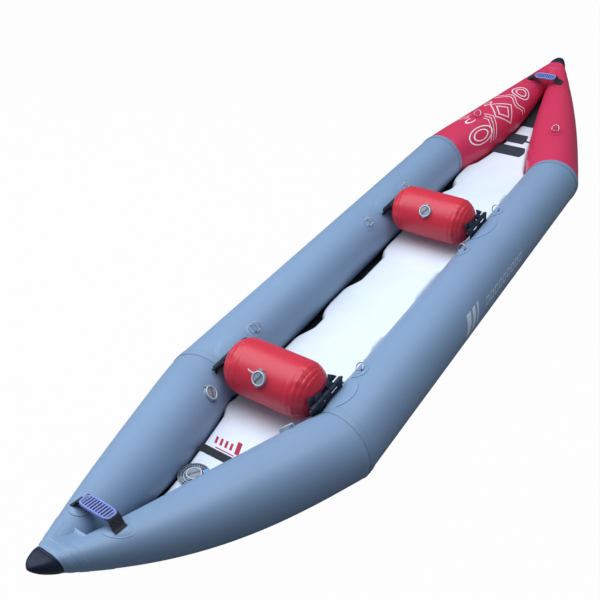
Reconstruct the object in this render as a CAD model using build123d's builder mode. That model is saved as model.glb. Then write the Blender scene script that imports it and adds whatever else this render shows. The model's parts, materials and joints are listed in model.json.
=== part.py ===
"""Inflatable two-person kayak, open cockpit, with two inflated thwarts and a drop-stitch floor.

Frame: +Y towards the bow, +X starboard, +Z up. The origin is on the ground under the middle of
the boat. All sizes are in millimetres.
"""

from build123d import *
import os
from collections import namedtuple
from math import atan2, cos, degrees, hypot, radians, sin, sqrt

os.makedirs("parts", exist_ok=True)

# ---- driving dimensions -------------------------------------------------------------------

length_overall = 3750
tube_radius = 122  # each side tube, inflated
tube_half_spacing = 289  # from the middle of the boat to a tube's axis
stern_kink = 953  # distance from the middle to where the tubes turn in, at the stern
bow_kink = 1005
stern_rise = 257  # how far the tube axis climbs from the kink to the stern cone
bow_rise = 246
cone_length = 60
cone_rise = 34

fabric = 1.1  # coated fabric of the tubes and thwarts
tape_thickness = 0.7
tape_width = 30
patch_thickness = 0.8
wrap_thickness = 1.2
strip_thickness = 2.0  # wear strips that the boat stands on
strip_length_margin = 20  # each strip stops this far short of the kinks
tube_strip_half_angle = 7
keel_strip_width = 80
sheet_thickness = 1.2  # hull bottom between the tubes

floor_top = 96
floor_skin = 1.5
floor_gap = 1.0  # between the floor's edge and a tube
bay_half_width = 139  # half width of the floor where an edge bay is cut for draining
bay_return = 85  # from a bay's step back to the full width
floor_stern_inset = 370  # from the stern cone's base to the floor's tip
floor_bow_inset = 325  # and the same at the bow
drain_width = 20

thwart_radius = 100
thwart_half_length = 185
thwart_dome = 86
thwart_height = 234
stern_thwart_y = -890
bow_thwart_y = 295

rod_radius = 5
rod_length = 190
rod_x = 196
rod_z = 246
loop_count = 5
loop_length = 34
loop_wall = 1.6
rod_clearance = 0.2

ring_wire = 2.0
ring_half_width = 17
ring_leg = 7
ring_corner = 4
ring_lift = 35  # degrees above the fabric, as it stands
bar_clearance = 0.1
keeper_wall = 1.2
keeper_width = 24

webbing_thickness = 2.0
webbing_width = 40
handle_half_width = 66
handle_height = 28
grip_length = 112
grip_width = 46
grip_thickness = 9
grip_slots = 9
grip_flat = 46  # half length over which the webbing lies level in the grip

flange_radius = 26
flange_height = 4
barrel_radius = 15
barrel_depth = 30
mouth_radius = 11
mouth_length = 12
chamber_radius = 12.5
stem_radius = 3.0
stem_clearance = 0.08
plunger_travel = 3.4
cap_radius = 25
cap_height = 4
cap_gap = 0.3
hinge_reach = 29  # valve axis to the cap's hinge pin
pin_radius = 1.2
pin_clearance = 0.05

seat_gap = 0.1  # between a fitting's curved seat and the fabric under it
lay_gap = 0.3  # between soft pieces that lie against each other
sheet_gap = 1.5  # between the hull bottom's edge and a tube

# ---- derived sizes ------------------------------------------------------------------------

tube_z = strip_thickness + tube_radius
nose = length_overall / 2 - cone_length  # distance from the middle to the cone's base
floor_stern_tip = nose - floor_stern_inset
floor_bow_tip = nose - floor_bow_inset

End = namedtuple("End", "sign kink rise")
STERN = End(-1, stern_kink, stern_rise)
BOW = End(+1, bow_kink, bow_rise)

Section = namedtuple("Section", "x y z half_width half_height")


def cubic(u, linear, square, cube):
    return linear * u + square * u**2 + cube * u**3


def section(end, u):
    """Upright section of the starboard tube, u running from 0 at the kink to 1 at the cone."""
    if u == 0:
        return Section(tube_half_spacing, end.sign * end.kink, tube_z, tube_radius, tube_radius)
    return Section(
        tube_half_spacing * (1 + cubic(u, -1.024, 0.330, -0.253)),
        end.sign * (end.kink + u * (nose - end.kink)),
        tube_z + end.rise * cubic(u, 0.414, 0.279, 0.307),
        tube_radius * (1.064 + cubic(u, 0.107, -0.713, -0.221)),
        tube_radius * (1.024 + cubic(u, 0.090, -0.471, -0.380)),
    )


def section_at(end, y):
    return section(end, max(0.0, (abs(y) - end.kink) / (nose - end.kink)))


def upright(x, y, z):
    """A drawing plane across the boat: its x is starboard and its y is up."""
    return Plane(origin=(x, y, z), x_dir=(1, 0, 0), z_dir=(0, -1, 0))


def tube_frame(side, y, angle, end=None):
    """Plane on a tube's surface: x to starboard, y towards the bow, z out of the fabric.

    The angle is measured from straight up towards the middle of the boat.
    """
    a = radians(angle)

    def point(y_here, a_here):
        if end is None:
            s = Section(tube_half_spacing, y_here, tube_z, tube_radius, tube_radius)
        else:
            s = section_at(end, y_here)
        return Vector(
            side * (s.x - s.half_width * sin(a_here)), y_here, s.z + s.half_height * cos(a_here)
        )

    step = 0.5
    along = point(y + step, a) - point(y - step, a)
    around = point(y, a + radians(step)) - point(y, a - radians(step))
    out = along.cross(around).normalized()
    if out.Z < 0:
        out = out * -1
    return Plane(origin=point(y, a), x_dir=Vector(0, 1, 0).cross(out), z_dir=out)


# ---- builders -----------------------------------------------------------------------------

loft_stations = (0, 0.1, 0.25, 0.4, 0.55, 0.7, 0.85, 1)


def end_core(end, side, grow=0.0, contact_gap=lay_gap):
    """Solid bulk of the tapering end of one tube, its surface moved out by grow."""
    with BuildPart() as core:
        for u in loft_stations:
            s = section(end, u)
            with BuildSketch(upright(side * s.x, s.y, s.z)):
                Ellipse(s.half_width + grow, s.half_height + grow)
        loft()
        keep = Keep.TOP if side > 0 else Keep.BOTTOM
        split(bisect_by=Plane.YZ.offset(side * (contact_gap - grow)), keep=keep)
    return core.part


def middle_core(side, grow=0.0):
    with BuildPart() as core:
        with BuildSketch(upright(side * tube_half_spacing, bow_kink, tube_z)):
            Circle(tube_radius + grow)
        extrude(amount=bow_kink + stern_kink)
    return core.part


def save(piece, name):
    piece.part.label = name
    export_step(piece.part, f"parts/{name}.step")


SIDES = {"port": -1, "starboard": +1}
ENDS = {"stern": STERN, "bow": BOW}

# ---- valves: where they sit ---------------------------------------------------------------


def thwart_valve_frame(thwart_y):
    """Middle of a thwart, turned down towards the stern; the cap opens upwards."""
    turn = radians(53)
    out = Vector(0, -sin(turn), cos(turn))
    centre = Vector(0, thwart_y, thwart_height) + out * thwart_radius
    return Plane(origin=centre, x_dir=(1, 0, 0), z_dir=out)


tube_valve_reach = 95  # from the stern seam back to the tube's valve


def tube_valve_frame(side):
    """Inboard on a stern tube end; the cap opens towards the top of the tube."""
    frame = tube_frame(side, -stern_kink - tube_valve_reach, 51, STERN)
    return Plane(origin=frame.origin, x_dir=frame.y_dir * -side, z_dir=frame.z_dir)


floor_stern_rise = 80
floor_bow_rise = 64


def floor_top_at(y):
    """Height of the floor's top: flat between the kinks, easing upwards towards each tip."""
    if y < -stern_kink + 23:
        v = (-y - stern_kink + 23) / (floor_stern_tip - stern_kink + 23)
        return floor_top + floor_stern_rise * (1 - (1 - v) ** 1.8)
    if y > bow_kink:
        v = (y - bow_kink) / (floor_bow_tip - bow_kink)
        return floor_top + floor_bow_rise * v**1.2
    return floor_top


floor_valve_x = -8
floor_valve_y = 132 - floor_stern_tip


def floor_valve_frame():
    slope = (floor_top_at(floor_valve_y + 1) - floor_top_at(floor_valve_y - 1)) / 2
    out = Vector(0, -slope, 1).normalized()
    return Plane(
        origin=(floor_valve_x, floor_valve_y, floor_top_at(floor_valve_y)), x_dir=(1, 0, 0), z_dir=out
    )


valve_frames = {
    "port_tube": tube_valve_frame(-1),
    "starboard_tube": tube_valve_frame(+1),
    "stern_thwart": thwart_valve_frame(stern_thwart_y),
    "bow_thwart": thwart_valve_frame(bow_thwart_y),
    "floor": floor_valve_frame(),
}


def valve_hole(frame, depth):
    """Cutter for the hole that a valve's barrel passes through."""
    with BuildPart() as cutter:
        with BuildSketch(frame.offset(flange_height)):
            Circle(barrel_radius + seat_gap)
        extrude(amount=-(depth + flange_height))
    return cutter.part


# ---- tubes --------------------------------------------------------------------------------

for end_name, end in ENDS.items():
    outer = end_core(end, -1)
    inner = end_core(end, -1, grow=-fabric)
    s = section(end, 1)
    with BuildPart() as cap_disc:
        with BuildSketch(upright(-s.x, s.y, s.z)):
            Ellipse(s.half_width, s.half_height)
        extrude(amount=fabric * end.sign)
        split(bisect_by=Plane.YZ.offset(-lay_gap), keep=Keep.BOTTOM)
    with BuildPart() as port_end:
        add(outer)
        if end is STERN:
            add(valve_hole(valve_frames["port_tube"], barrel_depth), mode=Mode.SUBTRACT)
        add(inner, mode=Mode.SUBTRACT)
        add(cap_disc.part)
    save(port_end, f"port_tube_{end_name}")
    with BuildPart() as starboard_end:
        mirror(objects=port_end.part, about=Plane.YZ)
    save(starboard_end, f"starboard_tube_{end_name}")

for side_name, side in SIDES.items():
    with BuildPart() as tube_middle:
        with BuildSketch(upright(side * tube_half_spacing, bow_kink, tube_z)):
            Circle(tube_radius)
            Circle(tube_radius - fabric, mode=Mode.SUBTRACT)
        extrude(amount=bow_kink + stern_kink)
    save(tube_middle, f"{side_name}_tube_middle")

# ---- noses --------------------------------------------------------------------------------


def nose_outline(half_spacing, half_width, half_height):
    """Outline drawn round both tubes where they lie side by side."""
    EllipticalCenterArc((half_spacing, 0), half_width, half_height, -90, arc_size=180)
    Line((half_spacing, half_height), (-half_spacing, half_height))
    EllipticalCenterArc((-half_spacing, 0), half_width, half_height, 90, arc_size=180)
    Line((-half_spacing, -half_height), (half_spacing, -half_height))


def nose_core(end, grow):
    with BuildPart() as core:
        for u in (0.88, 0.92, 0.96, 1):
            s = section(end, u)
            with BuildSketch(upright(0, s.y, s.z)):
                with BuildLine():
                    nose_outline(s.x, s.half_width + grow, s.half_height + grow)
                make_face()
        loft()
    return core.part


for end_name, end in ENDS.items():
    wrap_outer = nose_core(end, lay_gap + wrap_thickness)
    wrap_inner = nose_core(end, lay_gap)
    with BuildPart() as nose_wrap:
        add(wrap_outer)
        add(wrap_inner, mode=Mode.SUBTRACT)
    save(nose_wrap, f"{end_name}_nose_wrap")

    s = section(end, 1)
    cone_profile = ((0, 1), (0.4, 0.82), (0.75, 0.52), (1, 0.2))  # along the cone, size left
    with BuildPart() as cone:
        for along, size in cone_profile:
            centre_y = end.sign * (nose + along * cone_length)
            with BuildSketch(upright(0, centre_y, s.z + along * cone_rise)):
                with BuildLine():
                    grow = lay_gap + wrap_thickness
                    nose_outline(size * s.x, size * (s.half_width + grow), size * (s.half_height + grow))
                make_face()
        loft()
    save(cone, f"{end_name}_cone")

# ---- hull bottom, wear strips --------------------------------------------------------------


def tube_bottom_at(y):
    end = STERN if y < 0 else BOW
    if abs(y) <= end.kink:
        return strip_thickness
    s = section_at(end, y)
    return s.z - s.half_height


def sheet_half_width_at(y):
    """Where the hull bottom meets a tube that curves up from its lowest line."""
    s = section_at(STERN if y < 0 else BOW, y)
    lift = 1 - sheet_thickness / s.half_height
    return s.x - s.half_width * sqrt(1 - lift**2) - sheet_gap


sheet_tip = nose - 75  # the hull bottom ends inside the nose wraps
end_steps = (0.05, 0.12, 0.2, 0.3, 0.4, 0.5, 0.6, 0.7, 0.8, 0.9, 1)


def end_points(end, tip, value, start_shift=0.0):
    """Points of a curve from a kink to a tip, value being a function of y."""
    start = end.kink - start_shift
    return [
        (end.sign * (start + step * (tip - start)), value(end.sign * (start + step * (tip - start))))
        for step in (0, *end_steps)
    ]


drain_bays = (  # along the boat: where the edge leaves the tube, runs straight, and steps back
    (-560, -450, -385),
    (-200, -90, 105),
    (690, 790, 840),
)

with BuildPart() as hull_bottom:
    with BuildSketch(Plane.YZ):
        with BuildLine():
            stern_low = end_points(STERN, sheet_tip, tube_bottom_at)
            bow_low = end_points(BOW, sheet_tip, tube_bottom_at)
            stern_high = [(y, z + sheet_thickness) for y, z in stern_low]
            bow_high = [(y, z + sheet_thickness) for y, z in bow_low]
            Spline(*stern_low)
            Line(stern_low[0], bow_low[0])
            Spline(*bow_low)
            Line(bow_low[-1], bow_high[-1])
            Spline(*bow_high)
            Line(bow_high[0], stern_high[0])
            Spline(*stern_high)
            Line(stern_high[-1], stern_low[-1])
        make_face()
    extrude(amount=tube_half_spacing, both=True)
    with BuildSketch(Plane.XY):
        with BuildLine():
            stern_edge = [(x, y) for y, x in end_points(STERN, sheet_tip, sheet_half_width_at)]
            bow_edge = [(x, y) for y, x in end_points(BOW, sheet_tip, sheet_half_width_at)]
            Spline(*stern_edge)
            Line(stern_edge[0], bow_edge[0])
            Spline(*bow_edge)
            Line(bow_edge[-1], (0, sheet_tip))
            Line((0, -sheet_tip), stern_edge[-1])
            mirror(about=Plane.YZ)
        make_face()
    extrude(amount=2 * tube_z, mode=Mode.INTERSECT)
    for _, flat, step in drain_bays:
        drain_x = (bay_half_width + tube_half_spacing - tube_radius) / 2
        with BuildSketch(Plane.XY):
            with Locations((drain_x, (flat + step) / 2), (-drain_x, (flat + step) / 2)):
                SlotOverall(step - flat - drain_width / 2, drain_width, rotation=90)
        extrude(amount=2 * strip_thickness + sheet_thickness, mode=Mode.SUBTRACT)
save(hull_bottom, "hull_bottom")

strip_start = -stern_kink + strip_length_margin
strip_end = bow_kink - strip_length_margin

with BuildPart() as keel_strip:
    with BuildSketch(Plane.XY):
        with Locations((0, (strip_start + strip_end) / 2)):
            RectangleRounded(keel_strip_width, strip_end - strip_start, keel_strip_width / 3)
    extrude(amount=strip_thickness)
save(keel_strip, "keel_strip")

with BuildPart() as tube_wear_strips:
    for side in SIDES.values():
        with BuildSketch(upright(side * tube_half_spacing, strip_end, tube_z)):
            with BuildLine():
                first = -90 - tube_strip_half_angle
                sweep_angle = 2 * tube_strip_half_angle
                low = CenterArc((0, 0), tube_z, first, sweep_angle)
                high = CenterArc((0, 0), tube_radius + seat_gap, first, sweep_angle)
                Line(low @ 0, high @ 0)
                Line(low @ 1, high @ 1)
            make_face()
        extrude(amount=strip_end - strip_start)
save(tube_wear_strips, "tube_wear_strips")

# ---- floor --------------------------------------------------------------------------------


def floor_half_width_at(y):
    """Half width of the floor where its top edge touches the tubes."""
    s = section_at(STERN if y < 0 else BOW, y)
    drop = (s.z - floor_top_at(y)) / s.half_height
    return s.x - s.half_width * sqrt(1 - drop**2) - floor_gap


def floor_bottom_at(y):
    """The floor stays thick over the stern rocker and thins towards the bow tip."""
    end = STERN if y < 0 else BOW
    clearance = 4 * lay_gap if abs(y) > end.kink else 2 * lay_gap
    on_hull = tube_bottom_at(y) + sheet_thickness + clearance
    if y < -stern_kink:
        stern_thickness = floor_top - strip_thickness - sheet_thickness
        return max(on_hull, floor_top_at(y) - stern_thickness)
    return on_hull


def floor_solid(inset):
    """The floor mat with every face moved in by inset."""
    stern_tip = floor_stern_tip - inset
    bow_tip = floor_bow_tip - inset
    flat_margin = 23  # the stern's rise starts this far ahead of the kink
    bay_corner = 9  # half the length of the step that ends a drain bay

    def top(y):
        return floor_top_at(y) - inset

    def bottom(y):
        return floor_bottom_at(y) + inset

    def edge(y):
        return floor_half_width_at(y) - inset

    with BuildPart() as mat:
        with BuildSketch(Plane.YZ):
            with BuildLine():
                stern_top = end_points(STERN, stern_tip, top, flat_margin)
                bow_top = end_points(BOW, bow_tip, top)
                stern_bottom = end_points(STERN, stern_tip, bottom)
                bow_bottom = end_points(BOW, bow_tip, bottom)
                Spline(*stern_top)
                Line(stern_top[0], bow_top[0])
                Spline(*bow_top)
                Line(bow_top[-1], bow_bottom[-1])
                Spline(*bow_bottom)
                Line(bow_bottom[0], stern_bottom[0])
                Spline(*stern_bottom)
                Line(stern_bottom[-1], stern_top[-1])
            make_face()
        extrude(amount=tube_half_spacing, both=True)
        with BuildSketch(Plane.XY):
            with BuildLine():
                full = edge(0)
                bay = bay_half_width - inset
                stern_edge = [(x, y) for y, x in end_points(STERN, stern_tip, edge, flat_margin)]
                bow_edge = [(x, y) for y, x in end_points(BOW, bow_tip, edge)]
                Spline(*stern_edge)
                last = stern_edge[0]
                for leave, flat, step in drain_bays:
                    lobe_start = (full, step + bay_return)
                    Line(last, (full, leave))
                    Spline((full, leave), (bay, flat), tangents=[(0, 1), (0, 1)])
                    Line((bay, flat), (bay, step - bay_corner))
                    Spline(
                        (bay, step - bay_corner),
                        (bay + (full - bay) / 2, step + bay_corner),
                        lobe_start,
                        tangents=[(0.3, 1), (0, 1)],
                    )
                    last = lobe_start
                Line(last, bow_edge[0])
                Spline(*bow_edge)
                Line(bow_edge[-1], (0, bow_tip))
                Line((0, -stern_tip), stern_edge[-1])
                mirror(about=Plane.YZ)
            make_face()
        extrude(amount=2 * tube_z, mode=Mode.INTERSECT)
    return mat.part


floor_outside = floor_solid(0)
floor_inside = floor_solid(floor_skin)
floor_pocket = valve_hole(valve_frames["floor"], barrel_depth)
floor_shell = floor_outside - floor_pocket - floor_inside
with BuildPart() as floor_mat:
    add(floor_shell)
save(floor_mat, "floor_mat")


def floor_band(centre_y, width, thickness, half_length):
    """Strip of webbing or fabric that lies across the floor."""
    with BuildPart() as band:
        ys = (centre_y - width / 2, centre_y, centre_y + width / 2)
        with BuildSketch(Plane.YZ):
            with BuildLine():
                low = [(y, floor_top_at(y) + lay_gap) for y in ys]
                high = [(y, z + thickness) for y, z in low]
                Spline(*low)
                Line(low[-1], high[-1])
                Spline(*high)
                Line(high[0], low[0])
            make_face()
        extrude(amount=half_length, both=True)
    return band.part


stern_strap_y = 239 - floor_stern_tip
strap_width = 30
band_width = 84
band_thickness = 1.5
bow_bands_y = (floor_bow_tip - 252, floor_bow_tip - 138)

strap_half = floor_half_width_at(stern_strap_y - strap_width / 2) - 3 * lay_gap
stern_band = floor_band(stern_strap_y, strap_width, webbing_thickness, strap_half)
with BuildPart() as stern_floor_strap:
    add(stern_band)
save(stern_floor_strap, "stern_floor_strap")

bow_band_solids = [
    floor_band(y, band_width, band_thickness, floor_half_width_at(y + band_width / 2) - 3 * lay_gap)
    for y in bow_bands_y
]
with BuildPart() as bow_floor_bands:
    for solid in bow_band_solids:
        add(solid)
save(bow_floor_bands, "bow_floor_bands")

collar_radius = 48
with BuildPart() as floor_valve_collar:
    with BuildSketch(valve_frames["floor"].offset(lay_gap)):
        Circle(collar_radius)
        Circle(flange_radius + lay_gap, mode=Mode.SUBTRACT)
    extrude(amount=patch_thickness)
save(floor_valve_collar, "floor_valve_collar")

# ---- thwarts ------------------------------------------------------------------------------


def thwart_core(thwart_y, shrink=0.0):
    """Solid bulk of a thwart: a cylinder with full, slightly square domes."""
    straight = thwart_half_length - thwart_dome
    radius = thwart_radius - shrink
    reach = thwart_dome - shrink
    fullness = 0.73  # of the dome's reach and radius, halfway round its profile
    top = thwart_height + radius
    with BuildPart() as core:
        with BuildSketch(Plane.XZ.offset(-thwart_y)):
            with BuildLine():
                Line((0, thwart_height), (0, top))
                Line((0, top), (straight, top))
                Spline(
                    (straight, top),
                    (straight + fullness * reach, thwart_height + fullness * radius),
                    (straight + reach, thwart_height),
                    tangents=[(1, 0), (0, -1)],
                )
                Line((straight + reach, thwart_height), (0, thwart_height))
            make_face()
        revolve(axis=Axis((0, thwart_y, thwart_height), (1, 0, 0)))
        mirror(about=Plane.YZ)
    return core.part


thwarts = {"stern": stern_thwart_y, "bow": bow_thwart_y}

for name, thwart_y in thwarts.items():
    skin_outside = thwart_core(thwart_y)
    skin_inside = thwart_core(thwart_y, fabric)
    valve_cut = valve_hole(valve_frames[f"{name}_thwart"], barrel_depth)
    with BuildPart() as thwart:
        add(skin_outside)
        add(valve_cut, mode=Mode.SUBTRACT)
        add(skin_inside, mode=Mode.SUBTRACT)
    save(thwart, f"{name}_thwart")

# ---- lacing of the thwarts: rods, leaves and patches -----------------------------------------

leaf_shift = 8  # the lacing's middle sits this far forward of its thwart
loop_outer = rod_radius + rod_clearance + loop_wall
loop_pitch = (rod_length - loop_length / 2) / loop_count
sleeve_loops = (-2, 0, 2)
flap_loops = (-1, 1)
sleeve_angle = 40  # where the sleeve meets the tube
flap_reach = (-56, 34)  # from the rod to the flap's end, starboard side


def leaf(side, thwart_y, target, own_loops, other_loops, cutters):
    """A fabric leaf: a sheet from the lacing rod to its target, looped round the rod."""
    centre_y = thwart_y + leaf_shift
    length = hypot(*target)
    angle = degrees(atan2(target[1], side * target[0]))
    half_leaf = 2.5 * loop_pitch
    with BuildPart() as sheet:
        with BuildSketch(upright(side * rod_x, centre_y + half_leaf, rod_z)):
            with Locations(Location((side * target[0] / 2, target[1] / 2, 0), angle)):
                Rectangle(length, loop_wall)
        extrude(amount=2 * half_leaf)
        for step in own_loops:
            start = centre_y + step * loop_pitch + loop_length / 2
            with BuildSketch(upright(side * rod_x, start, rod_z)):
                Circle(loop_outer)
            extrude(amount=loop_length)
        for step in other_loops:
            start = centre_y + step * loop_pitch + loop_pitch / 2
            with BuildSketch(upright(side * rod_x, start, rod_z)):
                Circle(loop_outer + 2 * lay_gap)
            extrude(amount=loop_pitch, mode=Mode.SUBTRACT)
        with BuildSketch(upright(side * rod_x, centre_y + rod_length, rod_z)):
            Circle(rod_radius + rod_clearance)
        extrude(amount=2 * rod_length, mode=Mode.SUBTRACT)
        for cutter in cutters:
            add(cutter, mode=Mode.SUBTRACT)
    return sheet.part.solids().sort_by(SortBy.VOLUME)[-1]


tube_cutters = {
    side: [middle_core(side, seat_gap), end_core(STERN, side, seat_gap)] for side in SIDES.values()
}

for name, thwart_y in thwarts.items():
    thwart_bulk = thwart_core(thwart_y, -seat_gap)
    sleeve_drop = (
        tube_half_spacing - tube_radius * sin(radians(sleeve_angle)) - rod_x,
        tube_z + tube_radius * cos(radians(sleeve_angle)) - rod_z,
    )
    sleeve_reach = tuple(1.1 * part for part in sleeve_drop)
    sleeve_leaves = [
        leaf(side, thwart_y, sleeve_reach, sleeve_loops, flap_loops, tube_cutters[side])
        for side in SIDES.values()
    ]
    flap_leaves = [
        leaf(side, thwart_y, flap_reach, flap_loops, sleeve_loops, [thwart_bulk])
        for side in SIDES.values()
    ]
    with BuildPart() as sleeves:
        add(sleeve_leaves)
    save(sleeves, f"{name}_thwart_sleeves")
    with BuildPart() as flaps:
        add(flap_leaves)
    save(flaps, f"{name}_thwart_flaps")

with BuildPart() as lacing_rods:
    for thwart_y in thwarts.values():
        rod_end = thwart_y + leaf_shift + rod_length / 2
        for side in SIDES.values():
            with BuildSketch(upright(side * rod_x, rod_end, rod_z)):
                Circle(rod_radius)
            extrude(amount=rod_length)
save(lacing_rods, "lacing_rods")

# ---- patches on the tubes --------------------------------------------------------------------


def patch(side, frame, outline, end=None, height=patch_thickness, lift=seat_gap):
    """Skin of the given height over a tube, cut to an outline drawn in the frame."""
    if end is None:
        over, under = middle_core(side, lift + height), middle_core(side, lift)
    else:
        over, under = end_core(end, side, lift + height), end_core(end, side, lift)
    with BuildPart() as skin:
        with BuildSketch(frame.offset(-tube_radius / 3)):
            outline()
        extrude(amount=tube_radius / 2)
        add(over, mode=Mode.INTERSECT)
        add(under, mode=Mode.SUBTRACT)
    return skin.part.solids().sort_by(SortBy.VOLUME)[-1]


thwart_patch_width = 96
thwart_patch_angle = 30
thwart_patch_spans = (  # from stern to bow; the stern patches stop short of the seam tape
    (tape_width - stern_kink + 5, stern_thwart_y + 125),
    (bow_thwart_y + leaf_shift - 95, bow_thwart_y + leaf_shift + 95),
)


def thwart_patch_outline(length):
    """The oval that patch() draws for a thwart patch of this length."""

    def outline():
        Ellipse(thwart_patch_width / 2, length / 2)

    return outline


thwart_patch_solids = []
for aft, fore in thwart_patch_spans:
    oval = thwart_patch_outline(fore - aft)
    for side in SIDES.values():
        frame = tube_frame(side, (aft + fore) / 2, thwart_patch_angle)
        thwart_patch_solids.append(patch(side, frame, oval))

sleeve_relief = []
for thwart_y in thwarts.values():
    for side in SIDES.values():
        foot = tube_frame(side, thwart_y + leaf_shift, sleeve_angle)
        with BuildPart() as slot:
            with BuildSketch(foot.offset(-tube_radius / 4)):
                Rectangle(4 * loop_wall, rod_length)
            extrude(amount=tube_radius / 2)
        sleeve_relief.append(slot.part)

with BuildPart() as thwart_patches:
    add(thwart_patch_solids)
    for slot_part in sleeve_relief:
        add(slot_part, mode=Mode.SUBTRACT)
save(thwart_patches, "thwart_patches")

# ---- seam tapes ------------------------------------------------------------------------------

tape_cut_height = 12  # the tape stops this far above the ground, clear of the hull bottom

for end_name, end in ENDS.items():
    with BuildPart() as tapes:
        for side in SIDES.values():
            start = end.sign * end.kink if end is BOW else -end.kink + tape_width
            with BuildSketch(upright(side * tube_half_spacing, start, tube_z)):
                Circle(tube_radius + seat_gap + tape_thickness)
                Circle(tube_radius + seat_gap, mode=Mode.SUBTRACT)
                with Locations((0, tape_cut_height - tube_z - tube_radius)):
                    Rectangle(3 * tube_radius, 2 * tube_radius, mode=Mode.SUBTRACT)
            extrude(amount=tape_width)
        for slot_part in sleeve_relief:
            add(slot_part, mode=Mode.SUBTRACT)
    save(tapes, f"{end_name}_seam_tapes")

# ---- D-rings ---------------------------------------------------------------------------------

ring_patch_radius = 35
bar_height = 4.3  # bar axis above the tube's fabric
hump_radius = ring_wire + bar_clearance + keeper_wall
keeper_foot = 13
keeper_root = 4  # sunk under the fabric until it is trimmed to it
hump_flare = 1  # the hump widens this much where it meets the foot

RingSite = namedtuple("RingSite", "name side y angle end lift")
ring_sites = [
    RingSite("port_stern_ring", -1, -717, 33, None, ring_lift),
    RingSite("starboard_stern_ring", +1, -717, 33, None, ring_lift),
    RingSite("starboard_thwart_ring", +1, -766, 61, None, ring_lift + 20),
    RingSite("port_middle_ring", -1, 106, 33, None, ring_lift),
    RingSite("starboard_middle_ring", +1, 106, 33, None, ring_lift + 25),
    RingSite("port_forward_ring", -1, 452, 32, None, ring_lift),
    RingSite("starboard_forward_ring", +1, 452, 32, None, ring_lift + 25),
    RingSite("port_bow_ring", -1, bow_kink + 224, 3, BOW, ring_lift),
    RingSite("starboard_bow_ring", +1, bow_kink + 224, 3, BOW, ring_lift),
]


def ring_patch_outline():
    Circle(ring_patch_radius)


def ring_parts(site):
    """The ring's frame and the keeper with its patch, as one solid."""
    frame = tube_frame(site.side, site.y, site.angle, site.end)
    if site.end is None:
        under = middle_core(site.side, seat_gap)
    else:
        under = end_core(site.end, site.side, seat_gap)
    disc = patch(site.side, frame, ring_patch_outline, site.end)
    across = Plane(
        origin=frame.origin - frame.x_dir * keeper_width / 2, x_dir=frame.y_dir, z_dir=frame.x_dir
    )
    with BuildPart() as keeper:
        with BuildSketch(across):
            with Locations((0, bar_height)):
                Circle(hump_radius)
            with BuildLine():
                Polyline(
                    (-keeper_foot, -keeper_root),
                    (-keeper_foot, patch_thickness + keeper_wall),
                    (-hump_radius - hump_flare, patch_thickness + keeper_wall),
                    (-hump_radius, bar_height),
                    (hump_radius, bar_height),
                    (hump_radius + hump_flare, patch_thickness + keeper_wall),
                    (keeper_foot, patch_thickness + keeper_wall),
                    (keeper_foot, -keeper_root),
                    close=True,
                )
            make_face()
            with Locations((0, bar_height)):
                Circle(ring_wire + bar_clearance, mode=Mode.SUBTRACT)
        extrude(amount=keeper_width)
        add(under, mode=Mode.SUBTRACT)
        add(disc)
    return frame, keeper.part.solids().sort_by(SortBy.VOLUME)[-1]


def ring_plane(frame, lift):
    """Plane of a ring standing at lift: x along its bar, y from the bar to its bow."""
    turn = radians(lift)
    return Plane(
        origin=frame.origin + frame.z_dir * bar_height,
        x_dir=frame.x_dir,
        z_dir=frame.z_dir * cos(turn) - frame.y_dir * sin(turn),
    )


keepers = {"grey": [], "red": []}
for site in ring_sites:
    frame, keeper_solid = ring_parts(site)
    keepers["red" if site.end else "grey"].append(keeper_solid)
    half, corner = ring_half_width, ring_corner
    plane = ring_plane(frame, site.lift)
    with BuildPart() as ring:
        with BuildLine(plane) as wire:
            Line((0, 0), (half - corner, 0))
            RadiusArc((half - corner, 0), (half, corner), -corner)
            Line((half, corner), (half, corner + ring_leg))
            RadiusArc((half, corner + ring_leg), (0, corner + ring_leg + half), -half)
        with BuildSketch(Plane(origin=plane.origin, x_dir=plane.y_dir, z_dir=plane.x_dir)):
            Circle(ring_wire)
        sweep()
        mirror(about=Plane(origin=plane.origin, x_dir=plane.y_dir, z_dir=plane.x_dir))
    save(ring, site.name)
    mid = plane.origin
    print("hinge", site.name, [round(v, 3) for v in mid], [round(v, 5) for v in plane.x_dir])

for colour, solids in keepers.items():
    with BuildPart() as mounts:
        add(solids)
    save(mounts, f"{colour}_ring_mounts")

# ---- carry handles ---------------------------------------------------------------------------

handle_sites = {"stern": (STERN, nose - 158), "bow": (BOW, nose - 175)}
handle_patch_radius = 37
handle_foot = 34  # length of webbing sewn down on each tube


def handle_outline():
    Circle(handle_patch_radius)


grip_corner = 10
slot_margin = 6  # left at each end of a slot
mouth_overlap = 2  # the grip's end mouths run this far into its tunnel
foot_margin = 4  # from the tube's crest to where the webbing leaves it
sew_rise = 0.5  # the webbing lifts this much where its sewn foot ends
shoulder_inset = 3  # the webbing's shoulder, inside the handle's half width
shoulder_share = 0.6  # and as a share of the handle's height
slot_width = 5
slot_pitch = (2 * grip_flat - slot_width) / (grip_slots - 1)


def ribbon(base, points, thickness, width):
    """Band whose half centre line is given from its sewn foot to the middle of the boat."""
    with BuildPart() as band:
        with BuildSketch(base.offset(-width / 2)):
            with BuildLine():
                Spline(*points, tangents=[(-1, 0.35), (-1, 0)])
                Line(points[-1], (0, points[-1][1]))
            trace(line_width=thickness)
            mirror(about=Plane.YZ)
        extrude(amount=width)
    return band.part


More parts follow.
